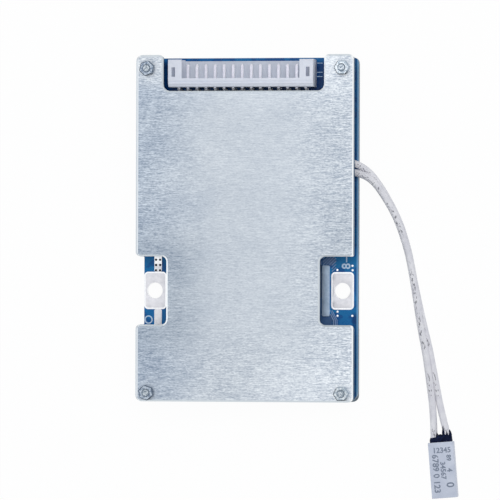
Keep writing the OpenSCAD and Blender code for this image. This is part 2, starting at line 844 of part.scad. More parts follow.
// Solder blobs that hold the leads' ends on the board
module lead_joints() {
    size = [2.6, 2, 2.2];
    color("#c5cacf") for (route = [route_right, route_left])
        translate([joint_x - size.x, route[0].y - size.y / 2, face_z]) rotate([90, 0, 90])
            linear_extrude(size.x) polygon([
                [0, 0], [size.y, 0], [size.y * 0.9, size.z * 0.6], [size.y * 0.65, size.z],
                [size.y * 0.35, size.z], [size.y * 0.1, size.z * 0.6]
            ]);
}

module at_switch() {
    translate([switch_at.x, switch_at.y, 0]) rotate(switch_turn) children();
}

module switch_case() {
    pocket_w = switch_w - 2 * switch_wall;
    pocket_h = switch_h - 2 * switch_wall;
    color("#c4cad0") at_switch() difference() {
        translate([0, switch_l / 2, switch_h / 2]) rotate([90, 0, 0]) linear_extrude(switch_l)
            polygon(outline(box_corners(switch_w, switch_h, switch_r)));
        translate([-pocket_w / 2, switch_l / 2 - seal_in, switch_wall])
            cube([pocket_w, seal_in + over, pocket_h]);
    }
}

// The resin plug: it fills the case's pocket and bulges out between the leads
module switch_seal() {
    w = switch_w - 2 * switch_wall;
    h = switch_h - 2 * switch_wall;
    bulge_w = lead_gap + lead_d - 0.3;
    color("#1b1d20") at_switch() difference() {
        union() {
            translate([-w / 2, switch_l / 2 - seal_in, switch_wall]) cube([w, seal_in, h]);
            translate([0, switch_l / 2, switch_wall]) linear_extrude(h) polygon([
                [-bulge_w / 2, -0.1], [bulge_w / 2, -0.1], [bulge_w / 2, 1.2],
                [lead_gap / 4, 2], [0.3, seal_out], [-0.5, seal_out - 0.3],
                [-lead_gap / 4, 2.2], [-bulge_w / 2, 1.4]
            ]);
        }
        for (side = [-1, 1])
            translate([side * lead_gap / 2, socket_y, lead_z]) rotate([-90, 0, 0])
                cylinder(d = lead_d + 0.1, h = 2 * seal_out, $fn = round_fn);
    }
}

front_plate();
back_plate();
circuit_board();
terminal_pad_right();
terminal_pad_left();
bus_strip();
link_strips();
header_housing();
header_pins();
header_joints();
mosfet_bodies();
mosfet_tabs();
mosfet_leads();
front_thermal_pad();
back_thermal_pad();
plate_spacers();
board_washers();
plate_screws();
plate_nuts();
shunt_resistors();
protection_chip();
protection_chip_leads();
driver_chip();
driver_chip_leads();
balance_resistors();
balance_transistors();
filter_capacitors();
regulator();
input_diodes();
lead_joints();
lead_left();
lead_right();
switch_case();
switch_seal();
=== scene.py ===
"""Battery management board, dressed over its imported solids.

A circuit board lies between two brushed heat plates. It has a right-angle header in a notch, two
terminal pads in side bays, and a thermal switch on two leads. Lengths are in metres, and mm()
takes them in millimetres. +Y is the header's end and +Z points out of the front plate.
"""
import logging
import math
from dataclasses import dataclass, field
from enum import Enum
from functools import partial
from typing import Callable, Iterable, Optional, Sequence

import bpy
from mathutils import Matrix, Vector


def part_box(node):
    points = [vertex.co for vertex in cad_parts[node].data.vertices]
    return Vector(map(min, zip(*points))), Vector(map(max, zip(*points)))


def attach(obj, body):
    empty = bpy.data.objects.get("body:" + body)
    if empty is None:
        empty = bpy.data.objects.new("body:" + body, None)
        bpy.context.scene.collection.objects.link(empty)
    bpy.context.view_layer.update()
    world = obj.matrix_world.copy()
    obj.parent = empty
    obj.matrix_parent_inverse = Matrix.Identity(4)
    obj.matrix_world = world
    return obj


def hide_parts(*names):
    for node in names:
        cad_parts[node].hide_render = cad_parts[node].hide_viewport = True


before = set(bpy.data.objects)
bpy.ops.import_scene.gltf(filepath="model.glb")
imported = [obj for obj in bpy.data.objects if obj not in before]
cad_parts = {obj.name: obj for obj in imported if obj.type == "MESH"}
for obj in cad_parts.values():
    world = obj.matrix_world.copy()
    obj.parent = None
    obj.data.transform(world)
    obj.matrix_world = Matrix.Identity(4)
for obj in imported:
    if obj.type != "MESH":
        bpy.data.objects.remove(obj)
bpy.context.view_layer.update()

LOG = logging.getLogger("battery_management_board")
BODY = "root"
Point = tuple[float, float, float]
Colour = tuple[float, float, float, float]
# A value's range, then what comes out up to its start and beyond its end
Range = tuple[float, float, float, float]
# add_node for one tree
Adder = Callable[..., bpy.types.NodeSocket]
Piece = bpy.types.Object


def mm(value: float) -> float:
    """Returns millimetres as metres."""
    return value / 1000.0


def mm_point(x: float, y: float, z: float) -> Vector:
    """Returns a point given in millimetres as a vector in metres."""
    return Vector((mm(x), mm(y), mm(z)))


# How far a print stands over its face, and how thick it is
INK_HEIGHT = mm(0.004)


# ---- Colour and node helpers ----

# Each kind of node: its type, its settings, the inputs that take values in turn, and the output
KINDS = {
    "place": ("TexCoord", {}, (), "Object"),
    "along": ("TexCoord", {}, (), "UV"),
    "normal": ("NewGeometry", {}, (), "Normal"),
    "split": ("SeparateXYZ", {}, (0,), slice(3)),
    "scale": ("Mapping", {}, ("Vector", "Scale"), 0),
    "noise": ("TexNoise", {}, ("Vector", "Scale", "Detail", "Roughness"), 0),
    "flat_noise": ("TexNoise", {"noise_dimensions": "2D"},
                   ("Vector", "Scale", "Detail", "Roughness"), 0),
    "range": ("MapRange", {"clamp": True}, (0, 1, 2, 3, 4), 0),
    "mix": ("Mix", {"data_type": "RGBA"}, (0, 6, 7), 2),
    "tint": ("Mix", {"data_type": "RGBA", "blend_type": "MULTIPLY"}, (0, 6, 7), 2),
    "bump": ("Bump", {}, ("Strength", "Distance", "Height"), 0),
    "brushing": ("Tangent", {"direction_type": "RADIAL", "axis": "X"}, (), 0),
    "principled": ("BsdfPrincipled", {}, ("Normal", "Base Color", "Roughness"), 0),
    "diffuse": ("BsdfDiffuse", {}, ("Color",), 0),
    "emission": ("Emission", {}, ("Strength",), 0),
    "background": ("Background", {}, ("Color", "Strength"), 0),
    "light_path": ("LightPath", {}, (), 0),
    "mix_shader": ("MixShader", {}, (0, 1, 2), 0),
    "material_output": ("OutputMaterial", {}, ("Surface",), None),
    "world_output": ("OutputWorld", {}, ("Surface",), None),
} | {name: ("Math", {"operation": name}, (0, 1, 2), 0)
     for name in ("ABSOLUTE", "ADD", "SUBTRACT", "MULTIPLY", "MULTIPLY_ADD", "MAXIMUM")}
# Nearly all values of a noise lie between these
NOISE_SPAN = (0.3, 0.7)


def linear(hex_colour: str) -> Colour:
    """Turns an sRGB hex colour into a linear one.

    Args:
        hex_colour: six hex digits with a leading hash.

    Returns:
        Red, green, blue and an alpha of 1.
    """
    parts = [int(hex_colour[i:i + 2], 16) / 255.0 for i in (1, 3, 5)]
    red, green, blue = (c / 12.92 if c <= 0.04045 else ((c + 0.055) / 1.055) ** 2.4 for c in parts)
    return red, green, blue, 1.0


def add_node(tree: bpy.types.NodeTree, kind: str, *values: object, out: Optional[str] = None,
             **named: object) -> object:
    """Adds one node with its settings, socket values and links.

    Args:
        tree: the node tree that gets the node.
        kind: a name from KINDS.
        *values: for the kind's inputs in turn, each a value, a hex colour or a socket to link.
        out: an output's name, for another output than the kind's own.
        **named: the same for further inputs, by name.

    Returns:
        The output socket, several of them for a split, or None for an output node.
    """
    suffix, settings, inputs, own_out = KINDS[kind]
    node = tree.nodes.new("ShaderNode" + suffix)
    for name, value in settings.items():
        setattr(node, name, value)
    for name, value in [*zip(inputs, values), *named.items()]:
        if isinstance(value, bpy.types.NodeSocket):
            tree.links.new(value, node.inputs[name])
        else:
            node.inputs[name].default_value = linear(value) if isinstance(value, str) else value
    return None if own_out is None else node.outputs[own_out if out is None else out]


def new_tree(owner: bpy.types.ID) -> Adder:
    """Empties a material's or a world's node tree.

    Args:
        owner: the material or world.

    Returns:
        add_node for its tree.
    """
    owner.use_nodes = True
    owner.node_tree.nodes.clear()
    return partial(add_node, owner.node_tree)


def grain(node: Adder, cell_mm: Point, detail: float = 2.0,
          roughness: float = 0.5) -> bpy.types.NodeSocket:
    """Adds a noise pattern on Object coordinates, sized in millimetres.

    Args:
        node: add_node for the tree.
        cell_mm: the pattern's cell along X, Y and Z.
        detail: how many finer layers the noise has.
        roughness: how strong the finer layers are.

    Returns:
        The noise's value, from 0 to 1 around 0.5.
    """
    scaled = node("scale", node("place"), tuple(1.0 / mm(c) for c in cell_mm))
    return node("noise", scaled, 1.0, detail, roughness)


def surface(node: Adder, height: object, strength: float, depth: float, colour: object,
            roughness: object, **others: object) -> None:
    """Ends a material's tree with a fine bump, a shader and the output.

    Args:
        node: add_node for the tree.
        height: the bump's pattern.
        strength: the bump's strength.
        depth: the bump's depth.
        colour: the shader's base colour.
        roughness: the shader's roughness.
        **others: the shader's other inputs.
    """
    bump = node("bump", strength, depth, height)
    node("material_output", node("principled", bump, colour, roughness, **others))


# ---- Finishes ----


class Look:
    """A finish as a procedural material, whose nodes each kind of finish draws itself."""

    name: str

    def build(self) -> bpy.types.Material:
        """Makes the material and draws its nodes.

        Returns:
            The material.
        """
        material = bpy.data.materials.new(self.name)
        self.draw(new_tree(material))
        return material


@dataclass(frozen=True)
class BrushedAluminium(Look):
    """Rolled aluminium sheet, belt-brushed along X.

    Short fine scratches lie across the plate. The eye gets thin light and dark streaks, a soft
    sheen drawn out across the brushing, and slow cloudy changes of tone from the rolling. Real
    scratches are a few hundredths of a millimetre wide, so they are drawn as coarse as they
    need to be to show. Light and shade are also painted into the colour: painted shade towards
    the left side and round both bays, a painted highlight towards the top and the lower right,
    painted highlights on the right edge, the left-facing bevels and a band along the left edge,
    and painted shade on the right-facing walls.
    """

    name: str
    crest: str = "#E6ECF1"
    groove: str = "#939FAF"
    rim: str = "#D2DAE0"
    # Painted highlight: near-white on the right outer edge and on the bevels that face left
    highlight_rim: str = "#F8FBFD"
    # Painted highlight: a pale band on the level face along the left edge
    left_highlight_band: str = "#E0E6EC"
    left_rim: str = "#C6CDD4"
    # Painted shade: dark blue-grey on the walls facing right and on the outermost right edge
    shaded_right_wall: str = "#46637E"
    # Painted shade: the sheet darkens towards the left side, fading out near the top
    left_shade_tint: str = "#E3E9F1"
    # Painted highlight: the sheet lightens towards the top and the lower right
    highlight_tint: Colour = (1.17, 1.155, 1.14, 1.0)
    # Painted shade round the left bay and the right bay
    bay_shade_tint: Colour = (0.79, 0.81, 0.83, 1.0)
    streak_mm: Point = (2.7, 0.25, 2.0)
    fine_mm: Point = (0.6, 0.22, 1.0)
    cloud_mm: Point = (17.0, 11.0, 10.0)
    fine_share: float = 0.9
    cloud_share: float = 0.22
    middle_tone: float = 1.06
    deeper_outward: Range = (mm(10.0), mm(27.0), 0.88, 2.25)
    deeper_below: Range = (mm(-38.0), mm(-22.0), 1.6, 0.8)
    left_shade_wave: float = mm(16.0)
    left_shade_x: Range = (mm(-22.0), 0.0, 1.0, 0.0)
    left_shade_y: Range = (mm(37.0), mm(43.0), 1.0, 0.0)
    highlight_y: Range = (mm(31.0), mm(44.0), 0.0, 1.0)
    highlight_slant: Range = (mm(40.0), mm(62.0), 0.0, 1.0)
    left_bay_below: float = mm(17.0)
    left_bay_y: Range = (mm(12.0), mm(19.0), 0.9, 0.0)
    left_bay_x: Range = (mm(-18.0), mm(-8.0), 1.0, 0.0)
    right_bay_y: Range = (mm(6.0), mm(11.0), 0.55, 0.0)
    right_bay_x: Range = (mm(20.0), mm(27.0), 0.0, 1.0)
    level: Range = (0.93, 0.995, 0.0, 1.0)
    outer_x: Range = (mm(29.0), mm(29.4), 0.0, 1.0)
    left_facing: Range = (-0.45, -0.15, 0.8, 0.0)
    wall_tilt: Range = (0.74, 0.86, 0.0, 1.0)
    wall_x: Range = (mm(29.84), mm(29.92), 0.0, 1.0)
    left_x: Range = (mm(-29.35), mm(-29.2), 1.0, 0.0)
    roughness: float = 0.42
    anisotropy: float = 0.45
    bump: float = 0.22

    def draw(self, node: Adder) -> None:
        """Draws the brushing, the slow tones and the painted light and shade over it, and the rims
        and walls.

        Args:
            node: add_node for the material's tree.
        """
        streaks = grain(node, self.streak_mm, 3.0, 0.65)
        clouds = grain(node, self.cloud_mm, 1.0)
        x, y, _ = node("split", node("place"))
        tilt, _, up = node("split", node("normal"))
        scratches = node("MULTIPLY_ADD", grain(node, self.fine_mm, 2.0, 0.6), self.fine_share,
                         streaks)
        toned = node("MULTIPLY_ADD", clouds, self.cloud_share, scratches)
        depth = node("MAXIMUM", node("range", node("ABSOLUTE", x), *self.deeper_outward),
                     node("range", y, *self.deeper_below))
        share = node("MULTIPLY_ADD", node("SUBTRACT", toned, self.middle_tone), depth, 0.5)
        sheet = node("mix", share, self.groove, self.crest)
        # Painted shade: darker towards the left side along a wavy border, fading out near the top
        waved = node("MULTIPLY_ADD", clouds, self.left_shade_wave, x)
        drift = node("MULTIPLY", node("range", waved, *self.left_shade_x),
                     node("range", y, *self.left_shade_y))
        sheet = node("tint", drift, sheet, self.left_shade_tint)
        # Painted highlight: lighter towards the top and towards the lower right
        highlit = node("MAXIMUM", node("range", y, *self.highlight_y),
                        node("range", node("SUBTRACT", x, y), *self.highlight_slant))
        sheet = node("tint", highlit, sheet, self.highlight_tint)
        # Painted shade: the sheet darkens round the left bay and the right bay
        from_bay = node("ABSOLUTE", node("ADD", y, self.left_bay_below))
        left_bay = node("MULTIPLY", node("range", from_bay, *self.left_bay_y),
                        node("range", x, *self.left_bay_x))
        right_bay = node("MULTIPLY", node("range", node("ABSOLUTE", y), *self.right_bay_y),
                         node("range", x, *self.right_bay_x))
        sheet = node("tint", node("ADD", left_bay, right_bay), sheet, self.bay_shade_tint)
        # Painted highlight: the right outer edge and the bevels that face left turn near-white
        bright = node("MAXIMUM", node("range", x, *self.outer_x),
                      node("range", tilt, *self.left_facing))
        edge = node("mix", bright, self.rim, self.highlight_rim)
        # Painted shade: walls that face right, and the outermost right edge, turn dark blue-grey
        walls = node("MAXIMUM", node("range", tilt, *self.wall_tilt),
                     node("range", x, *self.wall_x))
        edge = node("mix", walls, edge, self.shaded_right_wall)
        level = node("range", node("ABSOLUTE", up), *self.level)
        # Painted highlight: a pale band on the level face along the left edge, over a grey
        # outermost bevel
        band = node("mix", level, self.left_rim, self.left_highlight_band)
        colour = node("mix", node("range", x, *self.left_x), node("mix", level, edge, sheet), band)
        rough = node("range", streaks, *NOISE_SPAN, self.roughness - 0.06, self.roughness + 0.08)
        surface(node, scratches, self.bump, mm(0.02), colour, rough, Metallic=1.0,
                Anisotropic=self.anisotropy, Tangent=node("brushing"))


@dataclass(frozen=True)
class PlatedMetal(Look):
    """Metal with a thin even coat, such as tin, solder, zinc or nickel.

    A dipped or plated coat is satin with faint mottling. Where painted_facet is given, its
    chamfers and sides take painted light and shade instead of the level faces' coat:
    painted_facet where they face away from the upper right and lit_facet where they face it,
    and they are matter by facet_rough.
    """

    name: str
    light: str
    dark: str
    roughness: float = 0.35
    mottle_mm: float = 0.8
    fine_mm: float = 0.12
    bump: float = 0.15
    contrast: float = 0.3
    # Painted tone of chamfers and sides facing away from the upper right: shade on nuts and screws,
    # a highlight on the pins
    painted_facet: Optional[str] = None
    lit_facet: str = "#8391A0"
    facet_rough: float = 0.0
    lit_from: tuple[float, float] = (-0.1, 0.5)
    level_from: tuple[float, float] = (0.86, 0.98)
    matt_from: tuple[float, float] = (0.9, 0.99)

    def draw(self, node: Adder) -> None:
        """Draws the mottled coat, and the facets where they differ.

        Args:
            node: add_node for the material's tree.
        """
        fine = grain(node, (self.fine_mm,) * 3)
        mottle = node("range", grain(node, (self.mottle_mm,) * 3, 3.0, 0.6),
                      0.5 - self.contrast / 2, 0.5 + self.contrast / 2)
        colour = node("mix", mottle, self.dark, self.light)
        rough = node("range", fine, *NOISE_SPAN, self.roughness - 0.05, self.roughness + 0.07)
        # Painted light and shade on the chamfers and sides: painted_facet away from the upper
        # right, lit_facet towards it
        if self.painted_facet is not None:
            tilt_x, tilt_y, up = node("split", node("normal"))
            lit = node("range", node("ADD", tilt_x, tilt_y), *self.lit_from)
            side = node("mix", lit, self.painted_facet, self.lit_facet)
            colour = node("mix", node("range", up, *self.level_from), side, colour)
            rough = node("ADD", rough,
                         node("range", up, *self.matt_from, self.facet_rough, 0.0))
        surface(node, fine, self.bump, mm(0.02), colour, rough, Metallic=1.0)


@dataclass(frozen=True)
class MouldedPolymer(Look):
    """Plastic, rubber, resin or ceramic from a mould, with the mould's fine texture.

    The colour is nearly even, with a faint drift of tone from the flow and a soft gloss. Where
    deep_shade is given, parts that lie low take that tone as painted shade.
    """

    name: str
    light: str
    dark: str
    roughness: float = 0.45
    drift_mm: float = 5.0
    texture_mm: float = 0.15
    bump: float = 0.12
    depth_mm: float = 0.03
    ior: float = 1.5
    glow: float = 0.0
    deep_shade: Optional[str] = None
    deep_z: tuple[float, float] = (mm(6.5), mm(9.5))
    drift_span: tuple[float, float] = (0.32, 0.68)

    def draw(self, node: Adder) -> None:
        """Draws the drifting tone, the deep one where it is given, and the texture.

        Args:
            node: add_node for the material's tree.
        """
        texture = grain(node, (self.texture_mm,) * 3, 2.0, 0.6)
        drift = node("range", grain(node, (self.drift_mm,) * 3, 3.0, 0.55), *self.drift_span)
        colour = node("mix", drift, self.dark, self.light)
        # Painted shade: parts below deep_z turn to the deep_shade tone
        if self.deep_shade is not None:
            _, _, z = node("split", node("place"))
            colour = node("mix", node("range", z, *self.deep_z), self.deep_shade, colour)
        rough = node("range", texture, *NOISE_SPAN, self.roughness - 0.05, self.roughness + 0.06)
        surface(node, texture, self.bump, mm(self.depth_mm), colour, rough, IOR=self.ior, **{
            "Subsurface Weight": self.glow, "Subsurface Radius": (1.0, 0.9, 0.9),
            "Subsurface Scale": mm(0.5)})


@dataclass(frozen=True)
class SolderMask(Look):
    """Glass-fibre laminate under a glossy blue solder mask.

    The mask looks lighter over copper and darker between it, and deeper in the notch and beside
    the bay, where the plates shade it. The sawn edges show the laminate's pale bluish layers.
    """

    name: str = "blue_solder_mask_on_glass_laminate"
    over_copper: str = "#126BAA"
    over_laminate: str = "#0E5897"
    worn: str = "#1675AE"
    rounded: str = "#7DB0D8"
    edge: str = "#4A697D"
    edge_dark: str = "#314E62"
    shade: Colour = (0.0, 0.31, 0.44, 1.0)
    swell_mm: Point = (16.0, 9.0, 8.0)
    pour_mm: Point = (3.1, 2.3, 3.0)
    layer_mm: Point = (4.0, 4.0, 0.2)
    weave_mm: Point = (0.45, 0.45, 0.45)
    bay_below: float = mm(14.0)
    beside_x: Range = (mm(28.4), mm(28.9), 0.0, 1.0)
    beside_y: Range = (mm(8.5), mm(9.5), 0.0, 0.72)
    notch_from: Range = (mm(34.5), mm(36.0), 0.0, 1.0)
    notch_to: Range = (mm(44.6), mm(45.6), 1.0, 0.32)
    notch_x: Range = (mm(26.0), mm(27.0), 1.0, 0.0)
    rounded_x: Range = (mm(29.6), mm(29.9), 0.0, 0.8)
    worn_span: tuple[float, float] = (0.42, 0.62)
    copper_span: tuple[float, float] = (0.44, 0.5)
    layer_span: tuple[float, float] = (0.4, 0.6)
    level_from: tuple[float, float] = (0.4, 0.6)
    roughness: float = 0.28
    ior: float = 1.3
    bump: float = 0.12

    def draw(self, node: Adder) -> None:
        """Draws the mask over copper and laminate, its shaded places, and the sawn edges.

        Args:
            node: add_node for the material's tree.
        """
        weave = grain(node, self.weave_mm)
        x, y, _ = node("split", node("place"))
        _, _, up = node("split", node("normal"))
        cured = node("range", grain(node, self.swell_mm, 1.0), *self.worn_span)
        copper = node("mix", cured, self.over_copper, self.worn)
        pour = node("range", grain(node, self.pour_mm, 1.0, 0.4), *self.copper_span)
        mask = node("mix", pour, self.over_laminate, copper)
        from_bay = node("ABSOLUTE", node("ADD", y, self.bay_below))
        beside = node("MULTIPLY", node("range", x, *self.beside_x),
                      node("range", from_bay, *self.beside_y))
        notch = node("MULTIPLY", node("range", y, *self.notch_from),
                     node("range", y, *self.notch_to))
        inside = node("MULTIPLY", notch, node("range", x, *self.notch_x))
        mask = node("tint", node("MAXIMUM", beside, inside), mask, self.shade)
        mask = node("mix", node("range", x, *self.rounded_x), mask, self.rounded)
        layers = node("range", grain(node, self.layer_mm, 1.0), *self.layer_span)
        sawn = node("mix", layers, self.edge_dark, self.edge)
        level = node("range", node("ABSOLUTE", up), *self.level_from)
        colour = node("mix", level, sawn, mask)
        rough = node("range", weave, *NOISE_SPAN, self.roughness - 0.05, self.roughness + 0.08)
        surface(node, weave, self.bump, mm(0.02), colour, rough, IOR=self.ior)


@dataclass(frozen=True)
class PrintedSleeve(Look):
    """Extruded silicone sleeve of a lead, grey-white, with small worn ink marks along one side.

    The curve's own UV map runs along the lead and round it, so the marks follow the bends.
    """

    name: str = "extruded_silicone_sleeve"
    light: str = "#F1F0F3"
    dark: str = "#E3E2E8"
    ink: str = "#55565F"
    ink_strength: float = 0.8
    drift_mm: float = 3.0
    texture_mm: float = 0.12
    length_mm: float = 86.0
    mark_mm: float = 1.0
    group_mm: float = 9.0
    marks_round: float = 14.0
    upper_side: float = 0.22
    print_width: Range = (0.07, 0.09, 1.0, 0.0)
    drift_span: tuple[float, float] = (0.35, 0.65)
    mark_span: tuple[float, float] = (0.55, 0.61)
    group_span: tuple[float, float] = (0.42, 0.5)
    roughness: float = 0.48
    ior: float = 1.41
    bump: float = 0.1

    def draw(self, node: Adder) -> None:
        """Draws the sleeve's pale silicone and the groups of marks on it.

        Args:
            node: add_node for the material's tree.
        """
        drift = node("range", grain(node, (self.drift_mm,) * 3, 3.0, 0.6), *self.drift_span)
        sleeve = node("mix", drift, self.dark, self.light)
        along = node("along")
        _, around, _ = node("split", along)
        mark_scale = (self.length_mm / self.mark_mm, self.marks_round, 1.0)
        marks = node("flat_noise", node("scale", along, mark_scale), 1.0, 2.0, 0.6)
        group_scale = (self.length_mm / self.group_mm, 0.0, 1.0)
        gaps = node("flat_noise", node("scale", along, group_scale), 1.0, 0.0)
        off = node("ABSOLUTE", node("SUBTRACT", around, self.upper_side))
        inked = node("MULTIPLY", node("range", marks, *self.mark_span),
                     node("range", off, *self.print_width))
        grouped = node("MULTIPLY", inked, node("range", gaps, *self.group_span))
        colour = node("mix", node("MULTIPLY", grouped, self.ink_strength), sleeve, self.ink)
        surface(node, grain(node, (self.texture_mm,) * 3), self.bump, mm(0.03), colour,
                self.roughness, IOR=self.ior)


class Finish(Enum):
    """Every finish on the part, by what the real surface is and how it was made."""

    # Brushed sheet, fine streaks along X, with painted highlights on its bevels and painted light
    # and shade across it
    FRONT_PLATE = BrushedAluminium("belt_brushed_aluminium")
    # The same sheet behind the board, with edges that lie in shade
    BACK_PLATE = BrushedAluminium("belt_brushed_aluminium_back", "#D2D9DF", "#8F9EAD", "#5E6B76",
                                  "#5E6B76", "#AEB8C2", "#5E6B76", "#5E6B76")
    # Blue mask over copper and laminate: glossy, with sawn edges
    BOARD = SolderMask()
    # Solder laid on copper and levelled with hot air: near-white and slightly uneven
    TINNED_COPPER = PlatedMetal("hot_air_levelled_tin", "#E4E4E9", "#D6D7DD", 0.46, 1.6, 0.3, 0.2)
    # A solder-coated bus bar: bluish grey, smoother than the pads
    TINNED_BAR = PlatedMetal("solder_coated_bus_bar", "#C6D8EB", "#ADC1D7", 0.62, 2.6, 0.3, 0.2)
    # Injection-moulded nylon: milky, with light passing a little way into its edges, and its low
    # parts painted grey-blue as shade
    WHITE_NYLON = MouldedPolymer("moulded_white_nylon", "#EBEEF7", "#E1E5F0", 0.42, 6.0, 0.2,
                                 0.08, 0.02, 1.53, 0.12, "#C4C9D5")
    # Tin plated over brass pins: smooth and bright, matt where a bend has stretched it, and painted
    # white on the bends and sides as a highlight
    PIN_TIN = PlatedMetal("tin_plated_brass_pin", "#D5D5E0", "#C5C6D3", 0.3, 0.6, 0.1, 0.08,
                          0.3, "#FFFFFF", "#FFFFFF", 0.45)
    # Frozen solder: bright grey with slight ripples
    SOLDER = PlatedMetal("reflowed_solder", "#D7DBDF", "#B9BEC5", 0.28, 0.5, 0.12, 0.3)
    # Epoxy moulding of power devices and chips: charcoal, matt from the mould's spark erosion
    BLACK_MOULDING = MouldedPolymer("moulded_black_epoxy", "#2D3034", "#232528", 0.55, 2.0, 0.12,
                                    0.25, 0.02, 1.55)
    # Silicone gap pad: soft, pale grey-blue and slightly grainy
    THERMAL_PAD = MouldedPolymer("silicone_gap_pad", "#A2AFBD", "#8E9CAB", 0.6, 1.5, 0.2, 0.3,
                                 0.05, 1.41)
    # Turned brass, bright from the cutter
    BRASS = PlatedMetal("turned_brass", "#D8B45C", "#B98F3E", 0.27, 1.2, 0.1, 0.15)
    # Stamped nylon sheet: warm white and a little cloudy
    NYLON_WASHER = MouldedPolymer("stamped_nylon_washer", "#E6E3DA", "#D8D5CB", 0.5, 1.0, 0.15,
                                  0.1, 0.02, 1.53, 0.1)
    # Zinc-plated and clear-passivated steel: pale, faintly blue, with its slopes painted mid grey
    # as shade
    SCREW_STEEL = PlatedMetal("zinc_plated_screw_steel", "#D3DBE2", "#72808D", 0.28, 0.42, 0.1,
                              0.15, 0.2, "#8290A0")
    # Nickel-plated steel: bright level faces, and chamfers painted dark on the lower left and mid
    # grey on the upper right, as shade
    NUT_STEEL = PlatedMetal("nickel_plated_nut_steel", "#E2E9EE", "#98A6B3", 0.28, 0.55, 0.12, 0.12,
                            0.22, "#222D38", "#9FADBB")
    # The same nuts on the plate's left side, painted darker and bluer as shade, with the same
    # painted shade on their chamfers
    DULL_NUT = PlatedMetal("nickel_nut_steel_in_painted_shade", "#BFCAD6", "#76859A", 0.3, 0.5, 0.12, 0.12,
                           0.22, "#333F50", "#5F6D7F")
    # Rolled resistance alloy: warm grey and satin
    SHUNT_ALLOY = PlatedMetal("rolled_shunt_alloy", "#9C958D", "#7E7872", 0.4, 1.2, 0.12, 0.1)
    # Fired ceramic bodies of resistors and capacitors: matt, tan to grey
    CHIP_CERAMIC = MouldedPolymer("fired_chip_ceramic", "#5A534B", "#3A3733", 0.6, 1.3, 0.1, 0.15,
                                  0.02, 1.6)
    # Silicone sleeve: grey-white and soft, with dashes of worn ink
    SLEEVE = PrintedSleeve()
    # Enamel sprayed on a drawn steel can: light grey-blue, faintly pebbled
    SWITCH_SHELL = MouldedPolymer("sprayed_enamel_on_steel", "#D5DBE9", "#C8CFDF", 0.4, 3.0, 0.25,
                                  0.15, 0.02, 1.5)
    # Black sealing resin: glossy, with drawn-up edges where it wetted the leads
    BLACK_RESIN = MouldedPolymer("black_sealing_resin", "#1B2544", "#0A0E20", 0.35, 0.8, 0.3, 0.35,
                                 0.06, 1.12)
    # White ink pressed through a screen: matt, tinged by the blue mask under it
    SILK_INK = MouldedPolymer("screen_printed_white_ink", "#CFE2F5", "#B3CFEA", 0.6, 0.8, 0.08,
                              0.1, 0.01)
    # Thin ink stamped on the enamel: pale grey and worn
    GREY_INK = MouldedPolymer("stamped_grey_ink", "#8B94A5", "#7A8496", 0.6, 0.8, 0.08, 0.1, 0.01)
    # Bare laminate under the mask between fine traces: duller than over copper. The same tone
    # beside the bus strip, along the bay's wall, is painted shadow
    TRACE_GROUND = MouldedPolymer("solder_mask_over_laminate_and_painted_shade", "#44648F", "#395883", 0.3,
                                  2.0, 0.3, 0.1, 0.02, 1.3)
    # A trace under the mask: the same blue, much lighter where copper lifts it
    TRACE_MASK = MouldedPolymer("solder_mask_over_trace", "#91A8CB", "#8199BF", 0.3, 2.0, 0.3,
                                0.1, 0.02, 1.3)
    # The dark inside of an open via
    VIA_SHADE = MouldedPolymer("open_via_barrel", "#0A0F1A", "#060A12", 0.6, 0.4, 0.1, 0.1, 0.01,
                               1.15)
    # Fresh solder round a land, drawn up bright against the duller tin
    SOLDER_BEAD = PlatedMetal("bright_solder_bead", "#F8F9FB", "#EEF0F4", 0.3, 0.6, 0.1, 0.1)

    def material(self) -> bpy.types.Material:
        """Returns this finish's material, made once."""
        made = bpy.data.materials.get(self.value.name)
        return made if made is not None else self.value.build()


# ---- Modelling helpers ----


def nothing_selected() -> None:
    """Leaves edit mode and deselects everything."""
    if bpy.context.object is not None and bpy.context.object.mode != "OBJECT":
        leave_edit()
    bpy.ops.object.select_all(action="DESELECT")


def only(piece: Piece) -> None:
    """Makes one piece the only selected and the active one.

    Args:
        piece: the object.
    """
    nothing_selected()
    piece.select_set(True)
    bpy.context.view_layer.objects.active = piece


def enter_edit(piece: Piece, action: str = "SELECT") -> None:
    """Enters edit mode for a piece's faces.

    Args:
        piece: the mesh object.
        action: SELECT to pick all of its faces, or DESELECT for none.
    """
    only(piece)
    bpy.ops.object.mode_set(mode="EDIT")
    bpy.ops.mesh.select_mode(type="FACE")
    bpy.ops.mesh.select_all(action=action)


def leave_edit() -> None:
    """Goes back to object mode."""
    bpy.ops.object.mode_set(mode="OBJECT")


def pick_faces(piece: Piece, test: Callable[[bpy.types.MeshPolygon], bool]) -> None:
    """Enters edit mode with just the faces that pass a test.

    Args:
        piece: the mesh object.
        test: says of a face whether it is picked.
    """
    enter_edit(piece, "DESELECT")
    leave_edit()
    for face in piece.data.polygons:
        face.select = test(face)
    bpy.ops.object.mode_set(mode="EDIT")


def newest(name: str) -> Piece:
    """Names the object that an operator has just made.

    Args:
        name: the piece's name.

    Returns:
        The object.
    """
    piece = bpy.context.object
    piece.name = piece.data.name = name
    return piece


def new_object(name: str, data: bpy.types.ID) -> Piece:
    """Adds an object to the scene.

    Args:
        name: the object's name.
        data: its mesh, curve, camera or lamp.

    Returns:
        The object.
    """
    piece = bpy.data.objects.new(name, data)
    bpy.context.scene.collection.objects.link(piece)
    return piece


def new_curve(name: str, width: float, rings: int) -> bpy.types.Curve:
    """Makes an empty round curve with capped ends.

    Args:
        name: the curve's name.
        width: its diameter.
        rings: its bevel's steps.

    Returns:
        The curve.
    """
    curve = bpy.data.curves.new(name, "CURVE")
    curve.dimensions = "3D"
    curve.bevel_depth = width / 2
    curve.bevel_resolution = rings
    curve.use_fill_caps = True
    return curve


